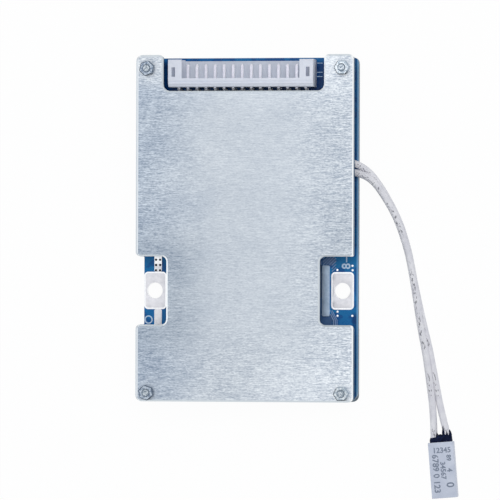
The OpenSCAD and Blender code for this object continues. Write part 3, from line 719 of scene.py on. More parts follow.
def placed(piece: Piece) -> Piece:
    """Moves a piece's place, turn and size into its mesh.

    Args:
        piece: the object.

    Returns:
        The same object, at the origin.
    """
    only(piece)
    bpy.ops.object.transform_apply(location=True, rotation=True, scale=True)
    return piece


def smoothed(piece: Piece, degrees: float) -> Piece:
    """Smooths a piece over its blunt edges.

    Args:
        piece: the object.
        degrees: edges blunter than this are smoothed.

    Returns:
        The same object.
    """
    only(piece)
    bpy.ops.object.shade_smooth_by_angle(angle=math.radians(degrees))
    return piece


def with_modifier(piece: Piece, kind: str, **settings: object) -> None:
    """Adds a modifier with its settings and applies it.

    Args:
        piece: the object.
        kind: the modifier's type.
        **settings: the modifier's properties.
    """
    only(piece)
    modifier = piece.modifiers.new(kind.lower(), kind)
    for name, value in settings.items():
        setattr(modifier, name, value)
    bpy.ops.object.modifier_apply(modifier=modifier.name)


def cut(piece: Piece, tool: Piece) -> None:
    """Cuts a tool out of a piece by an exact boolean, and removes the tool."""
    with_modifier(piece, "BOOLEAN", object=tool, operation="DIFFERENCE", solver="EXACT")
    bpy.data.objects.remove(tool)


def eased(piece: Piece, width: float, segments: int = 2, angle: float = 35.0) -> None:
    """Rounds a piece's sharp edges by a small width, and smooths what is left.

    Args:
        piece: the object.
        width: the rounding's width.
        segments: its steps.
        angle: edges sharper than this many degrees are rounded.
    """
    with_modifier(piece, "BEVEL", width=width, segments=segments, limit_method="ANGLE",
                  angle_limit=math.radians(angle), use_clamp_overlap=True,
                  harden_normals=False)
    smoothed(piece, 30)


def cylinder(name: str, foot: Vector, radius: float, height: float,
             count: int = 48) -> Piece:
    """Adds a capped cylinder or prism along Z.

    Args:
        name: the piece's name.
        foot: the middle of its foot.
        radius: its radius.
        height: its height.
        count: how many sides it has.

    Returns:
        The object.
    """
    nothing_selected()
    bpy.ops.mesh.primitive_cylinder_add(
        vertices=count, radius=radius, depth=height, end_fill_type="NGON",
        location=foot + Vector((0, 0, height / 2)))
    return placed(newest(name))


def block(name: str, centre: Vector, size: Vector, turn: float = 0.0) -> Piece:
    """Adds a block.

    Args:
        name: the piece's name.
        centre: its middle.
        size: its three sizes.
        turn: its turn about Z in degrees.

    Returns:
        The object.
    """
    nothing_selected()
    bpy.ops.mesh.primitive_cube_add(size=1, location=centre, scale=size,
                                    rotation=(0, 0, math.radians(turn)))
    return placed(newest(name))


def draw_out(piece: Piece, centre: Vector, steps: Iterable[tuple[float, float]]) -> None:
    """Extrudes a turned piece's top face up in steps, each with its own size.

    Args:
        piece: the object, with its axis along Z.
        centre: a point on its axis.
        steps: the rise and the size ratio of each step.
    """
    top = max(v.co.z for v in piece.data.vertices)
    pick_faces(piece, lambda face: face.normal.z > 0.99 and abs(face.center.z - top) < 1e-7)
    for rise, ratio in steps:
        bpy.ops.mesh.extrude_region_move(TRANSFORM_OT_translate={"value": (0, 0, rise)})
        top += rise
        bpy.ops.transform.resize(value=(ratio, ratio, 1),
                                 center_override=(centre.x, centre.y, top))
    leave_edit()


def copied(piece: Piece, name: str, x: float, y: float,
           turn: float = 0.0) -> Piece:
    """Copies a piece that lies on the Z axis to another place.

    Args:
        piece: the pattern piece.
        name: the copy's name.
        x: the copy's place along X.
        y: the copy's place along Y.
        turn: the copy's turn about Z in degrees.

    Returns:
        The copy, with its place in its mesh.
    """
    only(piece)
    bpy.ops.object.duplicate(linked=False)
    twin = newest(name)
    twin.data.transform(Matrix.Translation(Vector((x, y, 0)))
                        @ Matrix.Rotation(math.radians(turn), 4, "Z"))
    return twin


def from_cad(node: str, name: str) -> Piece:
    """Copies a CAD node's mesh into a new piece, and merges its loose triangles.

    Args:
        node: the CAD node.
        name: the new piece's name.

    Returns:
        The new piece.
    """
    piece = new_object(name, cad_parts[node].data.copy())
    piece.data.name = name
    piece.data.materials.clear()
    enter_edit(piece)
    bpy.ops.mesh.remove_doubles(threshold=1e-6)
    bpy.ops.mesh.customdata_custom_splitnormals_clear()
    leave_edit()
    return piece


def fitted(piece: Piece, finish: Finish,
           stands_for: Sequence[str] = ()) -> Piece:
    """Dresses a finished piece, makes it ride on the body, and reports it.

    Args:
        piece: the finished object.
        finish: its finish.
        stands_for: the CAD nodes that it replaces.

    Returns:
        The same object.
    """
    piece.data.materials.clear()
    piece.data.materials.append(finish.material())
    if piece.type == "MESH":
        for face in piece.data.polygons:
            face.material_index = 0
    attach(piece, BODY)
    if stands_for:
        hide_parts(*stands_for)
    LOG.info("piece %s, finish %s", piece.name, finish.value.name)
    return piece


def dress_nodes(finishes: dict[str, Finish]) -> None:
    """Gives CAD nodes that stay their procedural materials.

    Args:
        finishes: each node's finish.
    """
    for node, finish in finishes.items():
        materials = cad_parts[node].data.materials
        materials.clear()
        materials.append(finish.material())
        LOG.info("node %s, finish %s", node, finish.value.name)


def middle(node: str) -> Vector:
    """Returns the middle of a CAD node's box."""
    low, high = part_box(node)
    return (low + high) / 2


def stamped(name: str, words: str, place: Vector, size: float, turn: float,
            finish: Finish) -> Piece:
    """Prints plain numbers flat on a level face.

    Args:
        name: the piece's name.
        words: the numbers.
        place: the middle of the print.
        size: the numbers' height.
        turn: the turn about Z in degrees.
        finish: the ink.

    Returns:
        The print as a thin mesh.
    """
    nothing_selected()
    bpy.ops.object.text_add(location=place, rotation=(0, 0, math.radians(turn)))
    text = newest(name)
    text.data.body = words
    text.data.size = size
    text.data.align_x = text.data.align_y = "CENTER"
    text.data.extrude = INK_HEIGHT
    text.data.offset = mm(0.06)
    text.data.resolution_u = 3
    only(text)
    bpy.ops.object.convert(target="MESH")
    return fitted(placed(newest(name)), finish)


# ---- The studio: camera, lamps and floor ----


@dataclass
class Studio:
    """Camera, soft lamps, white surroundings and the pale floor."""

    target: Vector = field(default_factory=lambda: mm_point(0, 0, 6))
    distance: float = 1.5
    azimuth: float = 10.408
    elevation: float = 0.65
    roll: float = 0.161
    focal: float = 397.9
    shift: tuple[float, float] = (0.00435, -0.0432)
    # Each lamp: its name, place, size, power, colour, and whether gloss shows it
    lamps: tuple[tuple[str, Point, float, float, str, bool], ...] = (
        ("main_softbox", (0.14, 0.16, 0.62), 0.42, 1.35, "#FFFDFA", False),
        ("sheen_softbox", (0.02, 0.10, 0.40), 0.16, 0.06, "#F6F9FF", True),
        ("low_side_softbox", (-0.5, 0.0, 0.1), 0.3, 0.25, "#FFFFFF", True))
    floor_size: float = 1.6
    floor_gap: float = 0.0002
    floor_colour: str = "#FBFBFC"
    floor_glow: float = 0.965
    sky_colour: str = "#EFF4FB"
    sky_strength: float = 0.55

    def build(self) -> None:
        """Makes the camera first, then the lamps, the surroundings and the floor."""
        self.place_camera()
        self.hang_lamps()
        self.light_surroundings()
        self.lay_floor()
        bpy.context.scene.view_settings.view_transform = "Standard"

    def place_camera(self) -> None:
        """Places the camera high over the front plate, turned a little to the leads' side."""
        azimuth, elevation, roll = (math.radians(a) for a in
                                    (self.azimuth, self.elevation, self.roll))
        back = Vector((math.sin(azimuth) * math.cos(elevation), -math.sin(elevation),
                       math.cos(azimuth) * math.cos(elevation)))
        right = Vector((math.cos(azimuth), 0, -math.sin(azimuth)))
        up = back.cross(right)
        across = right * math.cos(roll) + up * math.sin(roll)
        upward = up * math.cos(roll) - right * math.sin(roll)
        data = bpy.data.cameras.new("studio_camera")
        data.sensor_width = 36.0
        data.lens = self.focal
        data.shift_x, data.shift_y = self.shift
        data.clip_start, data.clip_end = 0.05, 10.0
        camera = new_object("studio_camera", data)
        turn = Matrix((across, upward, back)).transposed().to_4x4()
        camera.matrix_world = Matrix.Translation(self.target + back * self.distance) @ turn
        bpy.context.scene.camera = camera

    def hang_lamps(self) -> None:
        """Hangs a broad main lamp, and two weak ones that draw the sheen on the metal."""
        for name, place, size, power, colour, in_gloss in self.lamps:
            data = bpy.data.lights.new(name, "AREA")
            data.shape = "SQUARE"
            data.size = size
            data.energy = power
            data.color = linear(colour)[:3]
            lamp = new_object(name, data)
            lamp.location = place
            lamp.visible_camera = False
            lamp.visible_glossy = in_gloss
            lamp.rotation_euler = (-Vector(place)).to_track_quat("-Z", "Y").to_euler()

    @staticmethod
    def seen(node: Adder) -> bpy.types.NodeSocket:
        """Tells the eye's own rays from those that carry light.

        Args:
            node: add_node for the tree.

        Returns:
            1 for rays of the eye, also through glass and in gloss, and 0 for the others.
        """
        camera, clear, glossy = (node("light_path", out=f"Is {ray} Ray")
                                 for ray in ("Camera", "Transmission", "Glossy"))
        return node("MAXIMUM", node("MAXIMUM", camera, clear), glossy)

    def light_surroundings(self) -> None:
        """Lights the part evenly from all round, and shows white to the eye and in gloss."""
        world = bpy.context.scene.world = bpy.data.worlds.new("plain_studio")
        node = new_tree(world)
        soft = node("background", self.sky_colour, self.sky_strength)
        white = node("background", "#FFFFFF", 1.0)
        node("world_output", node("mix_shader", self.seen(node), soft, white))

    def lay_floor(self) -> None:
        """Lays the pale floor just under the back plate. It keeps a faint shadow."""
        nothing_selected()
        bpy.ops.mesh.primitive_plane_add(size=self.floor_size, location=(0, 0, -self.floor_gap))
        floor = placed(newest("studio_floor"))
        material = bpy.data.materials.new("pale_studio_floor")
        node = new_tree(material)
        share = node("MULTIPLY", self.seen(node), self.floor_glow)
        node("material_output", node("mix_shader", share, node("diffuse", self.floor_colour),
                                     node("emission", 1.0)))
        floor.data.materials.append(material)


# ---- Thermal switch and its leads ----


@dataclass
class ThermalSwitch:
    """The cut-off switch on its two leads: sleeves, enamelled can, sealing resin and numbers."""

    centre: Vector = field(default_factory=lambda: mm_point(53.1, -65.2, 0))
    turn: float = 4.6
    width: float = mm(6.8)
    length: float = mm(15.1)
    height: float = mm(3.5)
    wall: float = mm(0.35)
    mouth_depth: float = mm(1.6)
    rolled_edge: float = mm(0.3)
    lead_gap: float = mm(3.5)
    lead_diameter: float = mm(1.9)
    lead_z: float = mm(1.75)
    straight_y: float = mm(9.6)
    socket_y: float = mm(6.95)
    # The leads' points in millimetres, from the board to just before the switch
    right_route: tuple[Point, ...] = (
        (24.5, 18, 6.2), (27, 18, 6.2), (29.5, 17.5, 6.2), (31.5, 16.5, 5.8), (33.5, 14.8, 4.8),
        (35, 12.8, 3.8), (36.5, 10.4, 2.7), (38, 7.6, 1.8), (39.5, 4.6, 1.2), (41, 1.2, 1),
        (42.3, -2.6, 1), (43.4, -6.6, 1), (44.2, -10.4, 1), (45, -14.6, 1), (45.9, -18.8, 1),
        (46.9, -23.4, 1), (48, -28, 1), (49.1, -32.6, 1), (50.1, -37.6, 1), (51.1, -42.8, 1),
        (52.1, -47.8, 1), (53.2, -52.2, 1.3))
    left_route: tuple[Point, ...] = (
        (24.5, 15.4, 6.2), (27, 15.4, 6.2), (29.5, 15.1, 6.3), (31.5, 14.5, 6.4),
        (33.4, 13.5, 6.3), (35, 12, 5.8), (36.5, 9.9, 5), (38, 7.4, 4.1), (39.5, 4.6, 3.4),
        (41, 1.3, 3.1), (42.3, -2.4, 3), (43.5, -6.4, 3), (44.4, -10.6, 3), (45.2, -15, 3),
        (45.9, -19.4, 3), (46.6, -24, 2.9), (47.4, -28.6, 2.8), (48.3, -33.4, 2.7),
        (49, -38, 2.6), (49.6, -42.8, 2.3), (50.1, -47.4, 1.8), (50.4, -51.8, 1.7))
    exit_number: int = 2
    right_length: float = 0.0872
    left_length: float = 0.0852
    # Each lobe of resin in millimetres: X and Y from the mouth, reach, radius and lift
    lobes: tuple[tuple[float, ...], ...] = (
        (-1.75, 0.2, 1.7, 1.25, 0.0), (1.8, 0.3, 2.2, 1.2, 0.0), (0.0, 0.2, 1.9, 1.25, 0.0),
        (2.65, 0.4, 3.0, 0.5, 0.3), (-2.35, 0.2, 2.1, 0.45, 0.3), (0.95, 0.7, 3.9, 0.42, 0.75),
        (-0.85, 0.4, 2.4, 0.45, 0.5), (1.85, 0.3, 2.7, 0.4, 0.8))
    lobe_limit_mm: float = 1.4
    fill_length: float = mm(2.4)
    fill_margin: float = mm(0.9)
    resin_voxel: float = mm(0.16)
    ripple_cell: float = mm(1.1)
    ripple_height: float = mm(0.5)
    # Each row of numbers: the numbers, X, Y and turn on the can, and their height in millimetres
    rows: tuple[tuple[str, float, float, float, float], ...] = (
        ("12345", 0.25, 5.3, 0.0, 2.0), ("6789 0 123", -1.75, -0.9, -90.0, 2.3),
        ("34567", 0.2, -0.1, -90.0, 1.9), ("89", 1.95, 3.2, -90.0, 1.7),
        ("4", 1.95, -0.1, -90.0, 2.0), ("0", 1.8, -4.1, -90.0, 2.9))
    leads: list[Piece] = field(default_factory=list)

    def own_point(self, x: float, y: float, z: float) -> Vector:
        """Turns a point of the switch's own frame into one of the part's frame."""
        return (Matrix.Translation(self.centre)
                @ Matrix.Rotation(math.radians(self.turn), 4, "Z")) @ Vector((x, y, z))

    def build_leads(self) -> None:
        """Makes the two sleeved leads as smooth curves on the CAD routes."""
        for name, route, side in (("lead_right", self.right_route, 1),
                                  ("lead_left", self.left_route, -1)):
            points = [mm_point(*p) for p in route]
            points += [self.own_point(side * self.lead_gap / 2, y, self.lead_z)
                       for y in (self.straight_y, self.socket_y)]
            curve = new_curve(name + "_sleeve", self.lead_diameter, 6)
            curve.resolution_u = 6
            curve.render_resolution_u = 0
            spline = curve.splines.new("BEZIER")
            spline.bezier_points.add(len(points) - 1)
            for handle, point in zip(spline.bezier_points, points):
                handle.co = point
                handle.handle_left_type = handle.handle_right_type = "AUTO"
            lead = new_object(name + "_sleeve", curve)
            self.leads.append(fitted(lead, Finish.SLEEVE, [name]))

    def build(self) -> None:
        """Makes the switch on the leads' ends."""
        pieces = [self.make_can(), self.make_resin(), *self.make_numbers()]

    def make_can(self) -> Piece:
        """Makes the drawn can: rolled long edges and an open end with a thin wall.

        Returns:
            The can.
        """
        can = block("switch_can", self.own_point(0, 0, self.height / 2),
                    Vector((self.width, self.length, self.height)), self.turn)
        mouth = Vector((-math.sin(math.radians(self.turn)), math.cos(math.radians(self.turn)), 0))
        pick_faces(can, lambda face: face.normal.dot(mouth) > 0.9)
        bpy.ops.mesh.inset(thickness=self.wall, depth=0)
        bpy.ops.mesh.extrude_region_move(
            TRANSFORM_OT_translate={"value": tuple(-mouth * self.mouth_depth)})
        leave_edit()
        eased(can, self.rolled_edge, 3)
        return fitted(can, Finish.SWITCH_SHELL, ["switch_case"])

    def make_resin(self) -> Piece:
        """Makes the resin in the can's mouth, drawn up round and between the leads.

        Returns:
            The resin.
        """
        plug_y = self.length / 2
        fill = block("resin_fill", self.own_point(0, plug_y - mm(0.5), self.height / 2),
                     Vector((self.width - self.fill_margin, self.fill_length,
                             self.height - self.fill_margin)), self.turn)
        parts = [fill]
        for number, (x, y, reach, radius, lift) in enumerate(self.lobes):
            nothing_selected()
            bpy.ops.mesh.primitive_uv_sphere_add(
                segments=24, ring_count=16, radius=1,
                location=self.own_point(mm(x), plug_y + mm(y), self.height / 2 + mm(lift)),
                scale=(mm(radius), mm(reach), mm(min(radius * 1.05, self.lobe_limit_mm))),
                rotation=(0, 0, math.radians(self.turn)))
            parts.append(placed(newest(f"resin_lobe_{number}")))
        only(fill)
        for part in parts:
            part.select_set(True)
        bpy.ops.object.join()
        resin = newest("switch_resin")
        with_modifier(resin, "REMESH", mode="VOXEL", voxel_size=self.resin_voxel)
        ripple = bpy.data.textures.new("resin_ripple", "CLOUDS")
        ripple.noise_scale = self.ripple_cell
        with_modifier(resin, "DISPLACE", texture=ripple, texture_coords="LOCAL",
                      strength=self.ripple_height, mid_level=0.5)
        with_modifier(resin, "SMOOTH", factor=0.5, iterations=2)
        only(resin)
        bpy.ops.object.shade_smooth()
        return fitted(resin, Finish.BLACK_RESIN, ["switch_seal"])

    def make_numbers(self) -> list[Piece]:
        """Stamps the plain numbers on the can's face.

        Returns:
            One piece for each row of numbers.
        """
        level = self.height + INK_HEIGHT
        return [stamped(f"switch_number_{number}", words, self.own_point(mm(x), mm(y), level),
                        mm(size), self.turn + turn, Finish.GREY_INK)
                for number, (words, x, y, turn, size) in enumerate(self.rows)]


# ---- Heat plates and what joins them ----


class HeatPlates:
    """The two brushed plates and the silicone pads under them."""

    def build(self) -> None:
        """Dresses the plates and pads."""
        dress_nodes({"front_plate": Finish.FRONT_PLATE, "back_plate": Finish.BACK_PLATE,
                     "front_thermal_pad": Finish.THERMAL_PAD,
                     "back_thermal_pad": Finish.THERMAL_PAD})


@dataclass
class PlateFasteners:
    """Four screws through the stack, with nuts on the front plate."""

    across_flats: float = mm(3.7)
    nut_height: float = mm(1.6)
    nut_chamfer: float = mm(0.18)
    nut_bore_play: float = 1.03
    countersink: float = mm(0.12)
    thread_radius: float = mm(1.0)
    thread_depth: float = mm(0.16)
    pitch: float = mm(0.4)
    head_z: float = mm(0.1)
    head_radius: float = mm(1.9)
    head_edge: float = mm(0.2)
    cone_height: float = mm(0.9)
    tip_chamfer: float = mm(0.2)
    socket_radius: float = mm(0.75)
    washer_radius: float = mm(2.0)
    turns: tuple[float, ...] = (0.0, 18.0, 42.0, 3.0)
    corners: tuple[tuple[int, int], ...] = ((1, 1), (-1, 1), (-1, -1), (1, -1))

    def build(self) -> None:
        """Makes one nut and one screw, and copies them to the four corners."""
        foot = Vector((0, 0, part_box("plate_nuts")[0].z))
        nut = self.make_nut(foot)
        screw = self.make_screw(foot)
        low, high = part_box("board_washers")
        for number, ((side, end), turn) in enumerate(zip(self.corners, self.turns)):
            x = low.x + self.washer_radius if side < 0 else high.x - self.washer_radius
            y = low.y + self.washer_radius if end < 0 else high.y - self.washer_radius
            # Nuts on the left take painted shade, like the plate's left side
            fitted(copied(nut, f"plate_nut_{number}", x, y, turn + 30.0),
                   Finish.DULL_NUT if side < 0 else Finish.NUT_STEEL, ["plate_nuts"])
            fitted(copied(screw, f"plate_screw_{number}", x, y, turn * 3),
                   Finish.SCREW_STEEL, ["plate_screws"])
        for pattern in (nut, screw):
            bpy.data.objects.remove(pattern)
        dress_nodes({"plate_spacers": Finish.BRASS, "board_washers": Finish.NYLON_WASHER})

    def make_nut(self, foot: Vector) -> Piece:
        """Makes a chamfered hexagon nut with a countersunk thread.

        Args:
            foot: the middle of its foot.

        Returns:
            The nut.
        """
        corner = self.across_flats / 2 / math.cos(math.radians(30))
        nut = cylinder("nut_pattern", foot, corner, self.nut_height, 6)
        eased(nut, self.nut_chamfer, 1, 28.0)
        bore = cylinder("nut_bore", foot - Vector((0, 0, mm(0.1))),
                        self.thread_radius * self.nut_bore_play, self.nut_height - mm(0.02), 40)
        draw_out(bore, foot, ((self.countersink, 1.06), (mm(0.2), 1.0)))
        cut(nut, bore)
        return nut

    def make_screw(self, foot: Vector) -> Piece:
        """Makes a countersunk screw with a hexagon socket and a ridged, chamfered tip.

        Args:
            foot: the middle of the nut's foot, where the shown thread starts.

        Returns:
            The screw.
        """
        screw = cylinder("screw_pattern", Vector((0, 0, self.head_z)), self.head_radius,
                         self.head_edge)
        steps = [(self.cone_height, self.thread_radius / self.head_radius),
                 (foot.z - self.head_z - self.head_edge - self.cone_height, 1.0)]
        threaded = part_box("plate_screws")[1].z - foot.z - self.tip_chamfer
        turns = int(threaded / self.pitch)
        slimmer = (self.thread_radius - self.thread_depth) / self.thread_radius
        steps += [(threaded / turns / 2, slimmer), (threaded / turns / 2, 1 / slimmer)] * turns
        draw_out(screw, foot, [*steps, (self.tip_chamfer, 0.8)])
        bottom = min(v.co.z for v in screw.data.vertices)
        cut(screw, cylinder("screw_socket", Vector((0, 0, bottom - mm(0.2))), self.socket_radius,
                            mm(1.0), 6))
        return smoothed(screw, 38)


# ---- Header ----


@dataclass
class CellHeader:
    """The right-angle header in the plate's notch."""

    mould_edge: float = mm(0.09)

    def build(self) -> None:
        """Makes the eased housing and dresses the pins."""
        housing = from_cad("header_housing", "header_body")
        eased(housing, self.mould_edge)
        fitted(housing, Finish.WHITE_NYLON, ["header_housing"])
        dress_nodes({"header_pins": Finish.PIN_TIN, "header_joints": Finish.SOLDER})


# ---- Circuit board ----


@dataclass
class CircuitBoard:
    """The blue board with its pads, strips, vias, traces and screen print.

    The places of traces and vias are in millimetres from the right pad's middle. An upper trace
    is given by its start, its end and how far it lies above its own X, a lower one by its start.
    """

    upper_traces: tuple[Point, ...] = (
        (-5.4, -4.7, 14.1), (-5.4, -3.85, 13.25), (-5.3, -3.0, 12.4), (-4.5, -2.15, 11.55),
        (-3.65, -1.8, 10.7), (-2.95, -1.8, 9.85), (-2.95, -1.8, 9.0), (-2.95, -1.8, 8.15))
    lower_traces: tuple[tuple[float, float], ...] = ((-3.3, -6.3), (-3.3, -5.3), (-2.85, -5.3))
    # Dark strips of mask over bare laminate between the traces; the first, beside the bus strip
    # along the bay's wall, is painted shadow
    grounds_and_shade: tuple[tuple[tuple[float, float], ...], ...] = (
        ((-5.75, -9.2), (-5.75, 9.2)), ((-5.3, 7.75), (-4.1, 8.95)), ((-5.3, 7.0), (-3.3, 9.0)),
        ((-4.4, 7.0), (-2.4, 9.0)), ((-3.6, 6.9), (-2.0, 8.5)), ((-5.0, -6.75), (-5.0, -9.2)),
        ((-4.2, -6.75), (-4.2, -9.2)), ((-3.4, -6.3), (-3.4, -9.2)),
        ((-3.3, -6.2), (-2.3, -8.4), (-2.3, -9.2)))
    right_vias: tuple[tuple[float, float], ...] = (
        (2.72, 6.82), (2.75, 5.6), (-1.45, 5.65), (-1.37, -5.62), (-1.37, -6.75), (2.7, -6.75))
    lower_slant: float = 0.52
    lower_bend_y: float = -7.9
    lower_end_y: float = -9.4
    trace_width: float = mm(0.24)
    trace_height: float = mm(0.02)
    ground_and_shade_width: float = mm(0.95)
    ground_and_shade_height: float = mm(0.008)
    # Filled vias: the radius, and the places of the left strip's in millimetres from its pad
    via_radius: float = mm(0.3)
    left_via_from: tuple[float, float] = (0.3, 8.35)
    left_via_step: tuple[float, float] = (1.14, -1.43)
    left_via_rows: int = 3
    flood_length: float = mm(4.8)
    flood_height: float = mm(0.06)
    # The print: places in millimetres from the pad's middle or the header's corner
    number_at: tuple[float, float] = (1.1, 6.7)
    number_size: float = mm(3.3)
    dash_at: tuple[float, float] = (1.1, 8.5)
    dash_size: tuple[float, float] = (0.32, 1.5)
    ring_at: tuple[float, float] = (-1.75, -7.95)
    ring_radii: tuple[float, float] = (0.98, 0.17)
    line_x: float = 0.85
    lines_y: tuple[float, ...] = (-0.9, -3.4, -4.55)
    line_size: tuple[float, float] = (1.5, 0.16)
    bead_width: float = mm(0.42)
    bead_corner: float = mm(1.1)
    bead_height: float = mm(0.07)
    bead_edge: float = mm(0.03)
    left_bead_run: float = mm(0.3)
    bolt_radius: float = mm(2.2)
    plating: float = mm(0.012)
    land_edge: float = mm(0.05)
    bar_edge: float = mm(0.12)

    def build(self) -> None:
        """Dresses the board and lays its copper and print."""
        dress_nodes({"circuit_board": Finish.BOARD})
        self.face_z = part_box("circuit_board")[1].z
        self.right = middle("terminal_pad_right")
        self.left = middle("terminal_pad_left")
        self.make_pads()
        self.make_vias()
        self.make_traces()
        self.make_print()

    def make_pads(self) -> None:
        """Makes the lands with softened edges, and a fine bead of solder round each."""
        for node in ("terminal_pad_right", "terminal_pad_left", "link_strips"):
            land = from_cad(node, node + "_land")
            eased(land, self.land_edge)
            fitted(land, Finish.TINNED_COPPER, [node])
        for side, pad, run in (("right", self.right, 0.0),
                               ("left", self.left, self.left_bead_run)):
            low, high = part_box(f"terminal_pad_{side}")
            bead = self.rim_bead(f"pad_bead_{side}", pad.x + run / 2, pad.y, high.z,
                                 high.x - low.x + run, high.y - low.y)
            fitted(bead, Finish.SOLDER_BEAD)
            barrel = self.barrel(f"bolt_barrel_{side}", pad, low.z, high.z)
            fitted(barrel, Finish.SOLDER_BEAD)
        bar = from_cad("bus_strip", "bus_strip_bar")
        eased(bar, self.bar_edge, 3)
        fitted(bar, Finish.TINNED_BAR, ["bus_strip"])

    def rim_bead(self, name: str, x: float, y: float, z: float, width: float,
                 length: float) -> Piece:
        """Makes the low bead of solder along a land's edge.

        Args:
            name: the piece's name.
            x: the land's middle along X.
            y: the land's middle along Y.
            z: the land's face.
            width: the land's width.
            length: the land's length.

        Returns:
            The bead, a rounded frame with eased edges.
        """
        nothing_selected()
        bpy.ops.mesh.primitive_plane_add(size=1, location=(x, y, z))
        bead = newest(name)
        bead.scale = (width, length, 1)
        enter_edit(placed(bead))
        bpy.ops.mesh.bevel(affect="VERTICES", offset=self.bead_corner, segments=8)
        bpy.ops.mesh.select_all(action="SELECT")
        bpy.ops.mesh.inset(thickness=self.bead_width, depth=0)
        bpy.ops.mesh.delete(type="FACE")
        leave_edit()
        with_modifier(bead, "SOLIDIFY", thickness=self.bead_height, offset=0)
        eased(bead, self.bead_edge)
        return bead

    def barrel(self, name: str, pad: Vector, low: float, high: float) -> Piece:
        """Makes the plated wall of a bolt hole.

        Args:
            name: the piece's name.
            pad: the hole's middle.
            low: the back land's face.
            high: the front land's face.

        Returns:
            A thin tube between the lands' faces.
        """
        nothing_selected()
        bpy.ops.mesh.primitive_cylinder_add(
            vertices=64, radius=self.bolt_radius - self.plating / 2, depth=high - low,
            end_fill_type="NOTHING", location=(pad.x, pad.y, (low + high) / 2))
        tube = placed(newest(name))
        with_modifier(tube, "SOLIDIFY", thickness=self.plating, offset=0)
        return smoothed(tube, 40)

    def via(self, name: str, level: float, radius: float) -> Piece:
        """Makes the pattern of a filled via, a low chamfered dot about the Z axis.

        Args:
            name: the pattern's name.
            level: the face that it stands on.
            radius: its outer radius.

        Returns:
            The dot.
        """
        dot = cylinder(name, Vector((0, 0, level - mm(0.02))), radius, mm(0.05), 24)
        draw_out(dot, Vector(), ((mm(0.015), 0.85),))
        return smoothed(dot, 40)

    def make_vias(self) -> None:
        """Sets the tinned vias round the right pad, and the dark ones in the left strip."""
        dot = self.via("via_pattern", self.face_z, self.via_radius)
        for number, (dx, dy) in enumerate(self.right_vias):
            twin = copied(dot, f"via_right_{number}", self.right.x + mm(dx), self.right.y + mm(dy))
            fitted(twin, Finish.SOLDER_BEAD)
        bpy.data.objects.remove(dot)
        low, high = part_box("link_strips")
        flooded = block("link_solder", Vector(((low.x + high.x) / 2,
                                               high.y - self.flood_length / 2, high.z)),
                        Vector((high.x - low.x - mm(0.05), self.flood_length, self.flood_height)))
        eased(flooded, mm(0.025))
        fitted(flooded, Finish.SOLDER_BEAD)
        dot = self.via("dot_pattern", high.z + self.flood_height / 2, self.via_radius + mm(0.01))
        for number in range(2 * self.left_via_rows):
            row, column = divmod(number, 2)
            (x, y), (across, down) = self.left_via_from, self.left_via_step
            twin = copied(dot, f"via_left_{number}", self.left.x + mm(x + across * column),
                          self.left.y + mm(y + down * row))
            fitted(twin, Finish.VIA_SHADE)
        bpy.data.objects.remove(dot)

    def trace(self, name: str, points: Sequence[tuple[float, float]], width: float,
              rise: float) -> Piece:
        """Makes one raised trace along a bent line.

        Args:
            name: the piece's name.
            points: the line's corners, in millimetres from the right pad's middle.
            width: the trace's width.
            rise: how high it stands.

        Returns:
            The trace as a mesh.
        """
        curve = new_curve(name, width, 2)
        spline = curve.splines.new("POLY")
        spline.points.add(len(points) - 1)
        for knot, (x, y) in zip(spline.points, points):
            knot.co = (self.right.x + mm(x), self.right.y + mm(y), 0, 1)
        only(new_object(name, curve))
        bpy.ops.object.convert(target="MESH")
        line = newest(name)
        line.scale = (1, 1, 2 * rise / width)
        line.location = (0, 0, self.face_z)
        return placed(line)

    def make_traces(self) -> None:
        """Lays the fine slanting traces beyond both ends of the bus strip."""
        lines = [((x, x + rise), (end, end + rise)) for x, end, rise in self.upper_traces]
        for x, y in self.lower_traces:
            bend_x = x + self.lower_slant * (y - self.lower_bend_y)
            lines.append(((x, y), (bend_x, self.lower_bend_y), (bend_x, self.lower_end_y)))
        # The dark ground strips lie under and between the traces, and the first, beside the bay's
        # wall, is painted shadow
        for stem, group, width, rise, finish in (
                ("slant_trace", lines, self.trace_width, self.trace_height, Finish.TRACE_MASK),
                ("trace_ground_and_shade", self.grounds_and_shade, self.ground_and_shade_width, self.ground_and_shade_height,
                 Finish.TRACE_GROUND)):
            for number, line in enumerate(group):
                fitted(self.trace(f"{stem}_{number}", line, width, rise), finish)

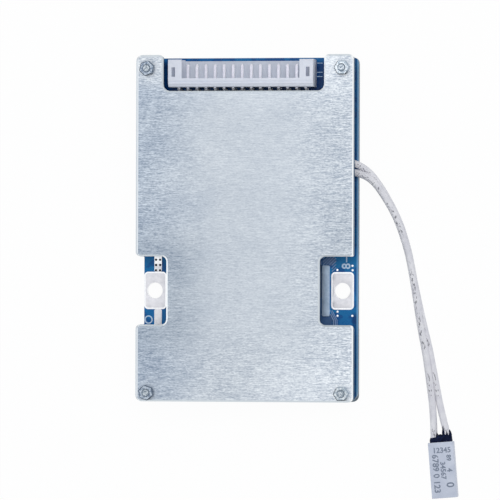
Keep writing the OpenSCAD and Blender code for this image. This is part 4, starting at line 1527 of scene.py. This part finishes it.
    def make_print(self) -> None:
        """Prints a plain number, a ring and the lines beside the header."""
        level = self.face_z + INK_HEIGHT
        x, y = self.number_at
        stamped("bay_number", "8", Vector((self.right.x + mm(x), self.right.y + mm(y), level)),
                self.number_size, 90.0, Finish.SILK_INK)
        x, y = self.ring_at
        ring_radius, band_radius = self.ring_radii
        nothing_selected()
        bpy.ops.mesh.primitive_torus_add(
            major_segments=40, minor_segments=6, major_radius=mm(ring_radius),
            minor_radius=mm(band_radius),
            location=(self.left.x + mm(x), self.left.y + mm(y), self.face_z))
        ring = newest("bay_ring")
        ring.scale = (1, 1, 0.1)
        fitted(placed(ring), Finish.SILK_INK)
        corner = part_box("header_housing")[1]
        marks = [("bay_dash", self.right, *self.dash_at, self.dash_size)]
        marks += [(f"header_line_{number}", corner, self.line_x, y, self.line_size)
                  for number, y in enumerate(self.lines_y)]
        for name, start, x, y, (width, length) in marks:
            line = block(name, Vector((start.x + mm(x), start.y + mm(y), level)),
                         Vector((mm(width), mm(length), mm(0.01))))
            eased(line, mm(0.003), 1)
            fitted(line, Finish.SILK_INK)


class BoardParts:
    """Everything soldered on the board between the plates."""

    def build(self) -> None:
        """Dresses each kind of part."""
        dress_nodes({
            "mosfet_bodies": Finish.BLACK_MOULDING, "mosfet_tabs": Finish.SOLDER,
            "mosfet_leads": Finish.PIN_TIN, "shunt_resistors": Finish.SHUNT_ALLOY,
            "protection_chip": Finish.BLACK_MOULDING, "protection_chip_leads": Finish.PIN_TIN,
            "driver_chip": Finish.BLACK_MOULDING, "driver_chip_leads": Finish.PIN_TIN,
            "balance_resistors": Finish.CHIP_CERAMIC,
            "balance_transistors": Finish.BLACK_MOULDING,
            "filter_capacitors": Finish.CHIP_CERAMIC, "regulator": Finish.BLACK_MOULDING,
            "input_diodes": Finish.BLACK_MOULDING, "lead_joints": Finish.SOLDER})


def main() -> None:
    """Builds the camera and the leads first, then each sub-assembly in order."""
    logging.basicConfig(level=logging.INFO, format="%(message)s")
    Studio().build()
    switch = ThermalSwitch()
    switch.build_leads()
    switch.build()
    for assembly in (HeatPlates, PlateFasteners, CellHeader, CircuitBoard, BoardParts):
        assembly().build()
    nothing_selected()


if __name__ == "__main__":
    main()
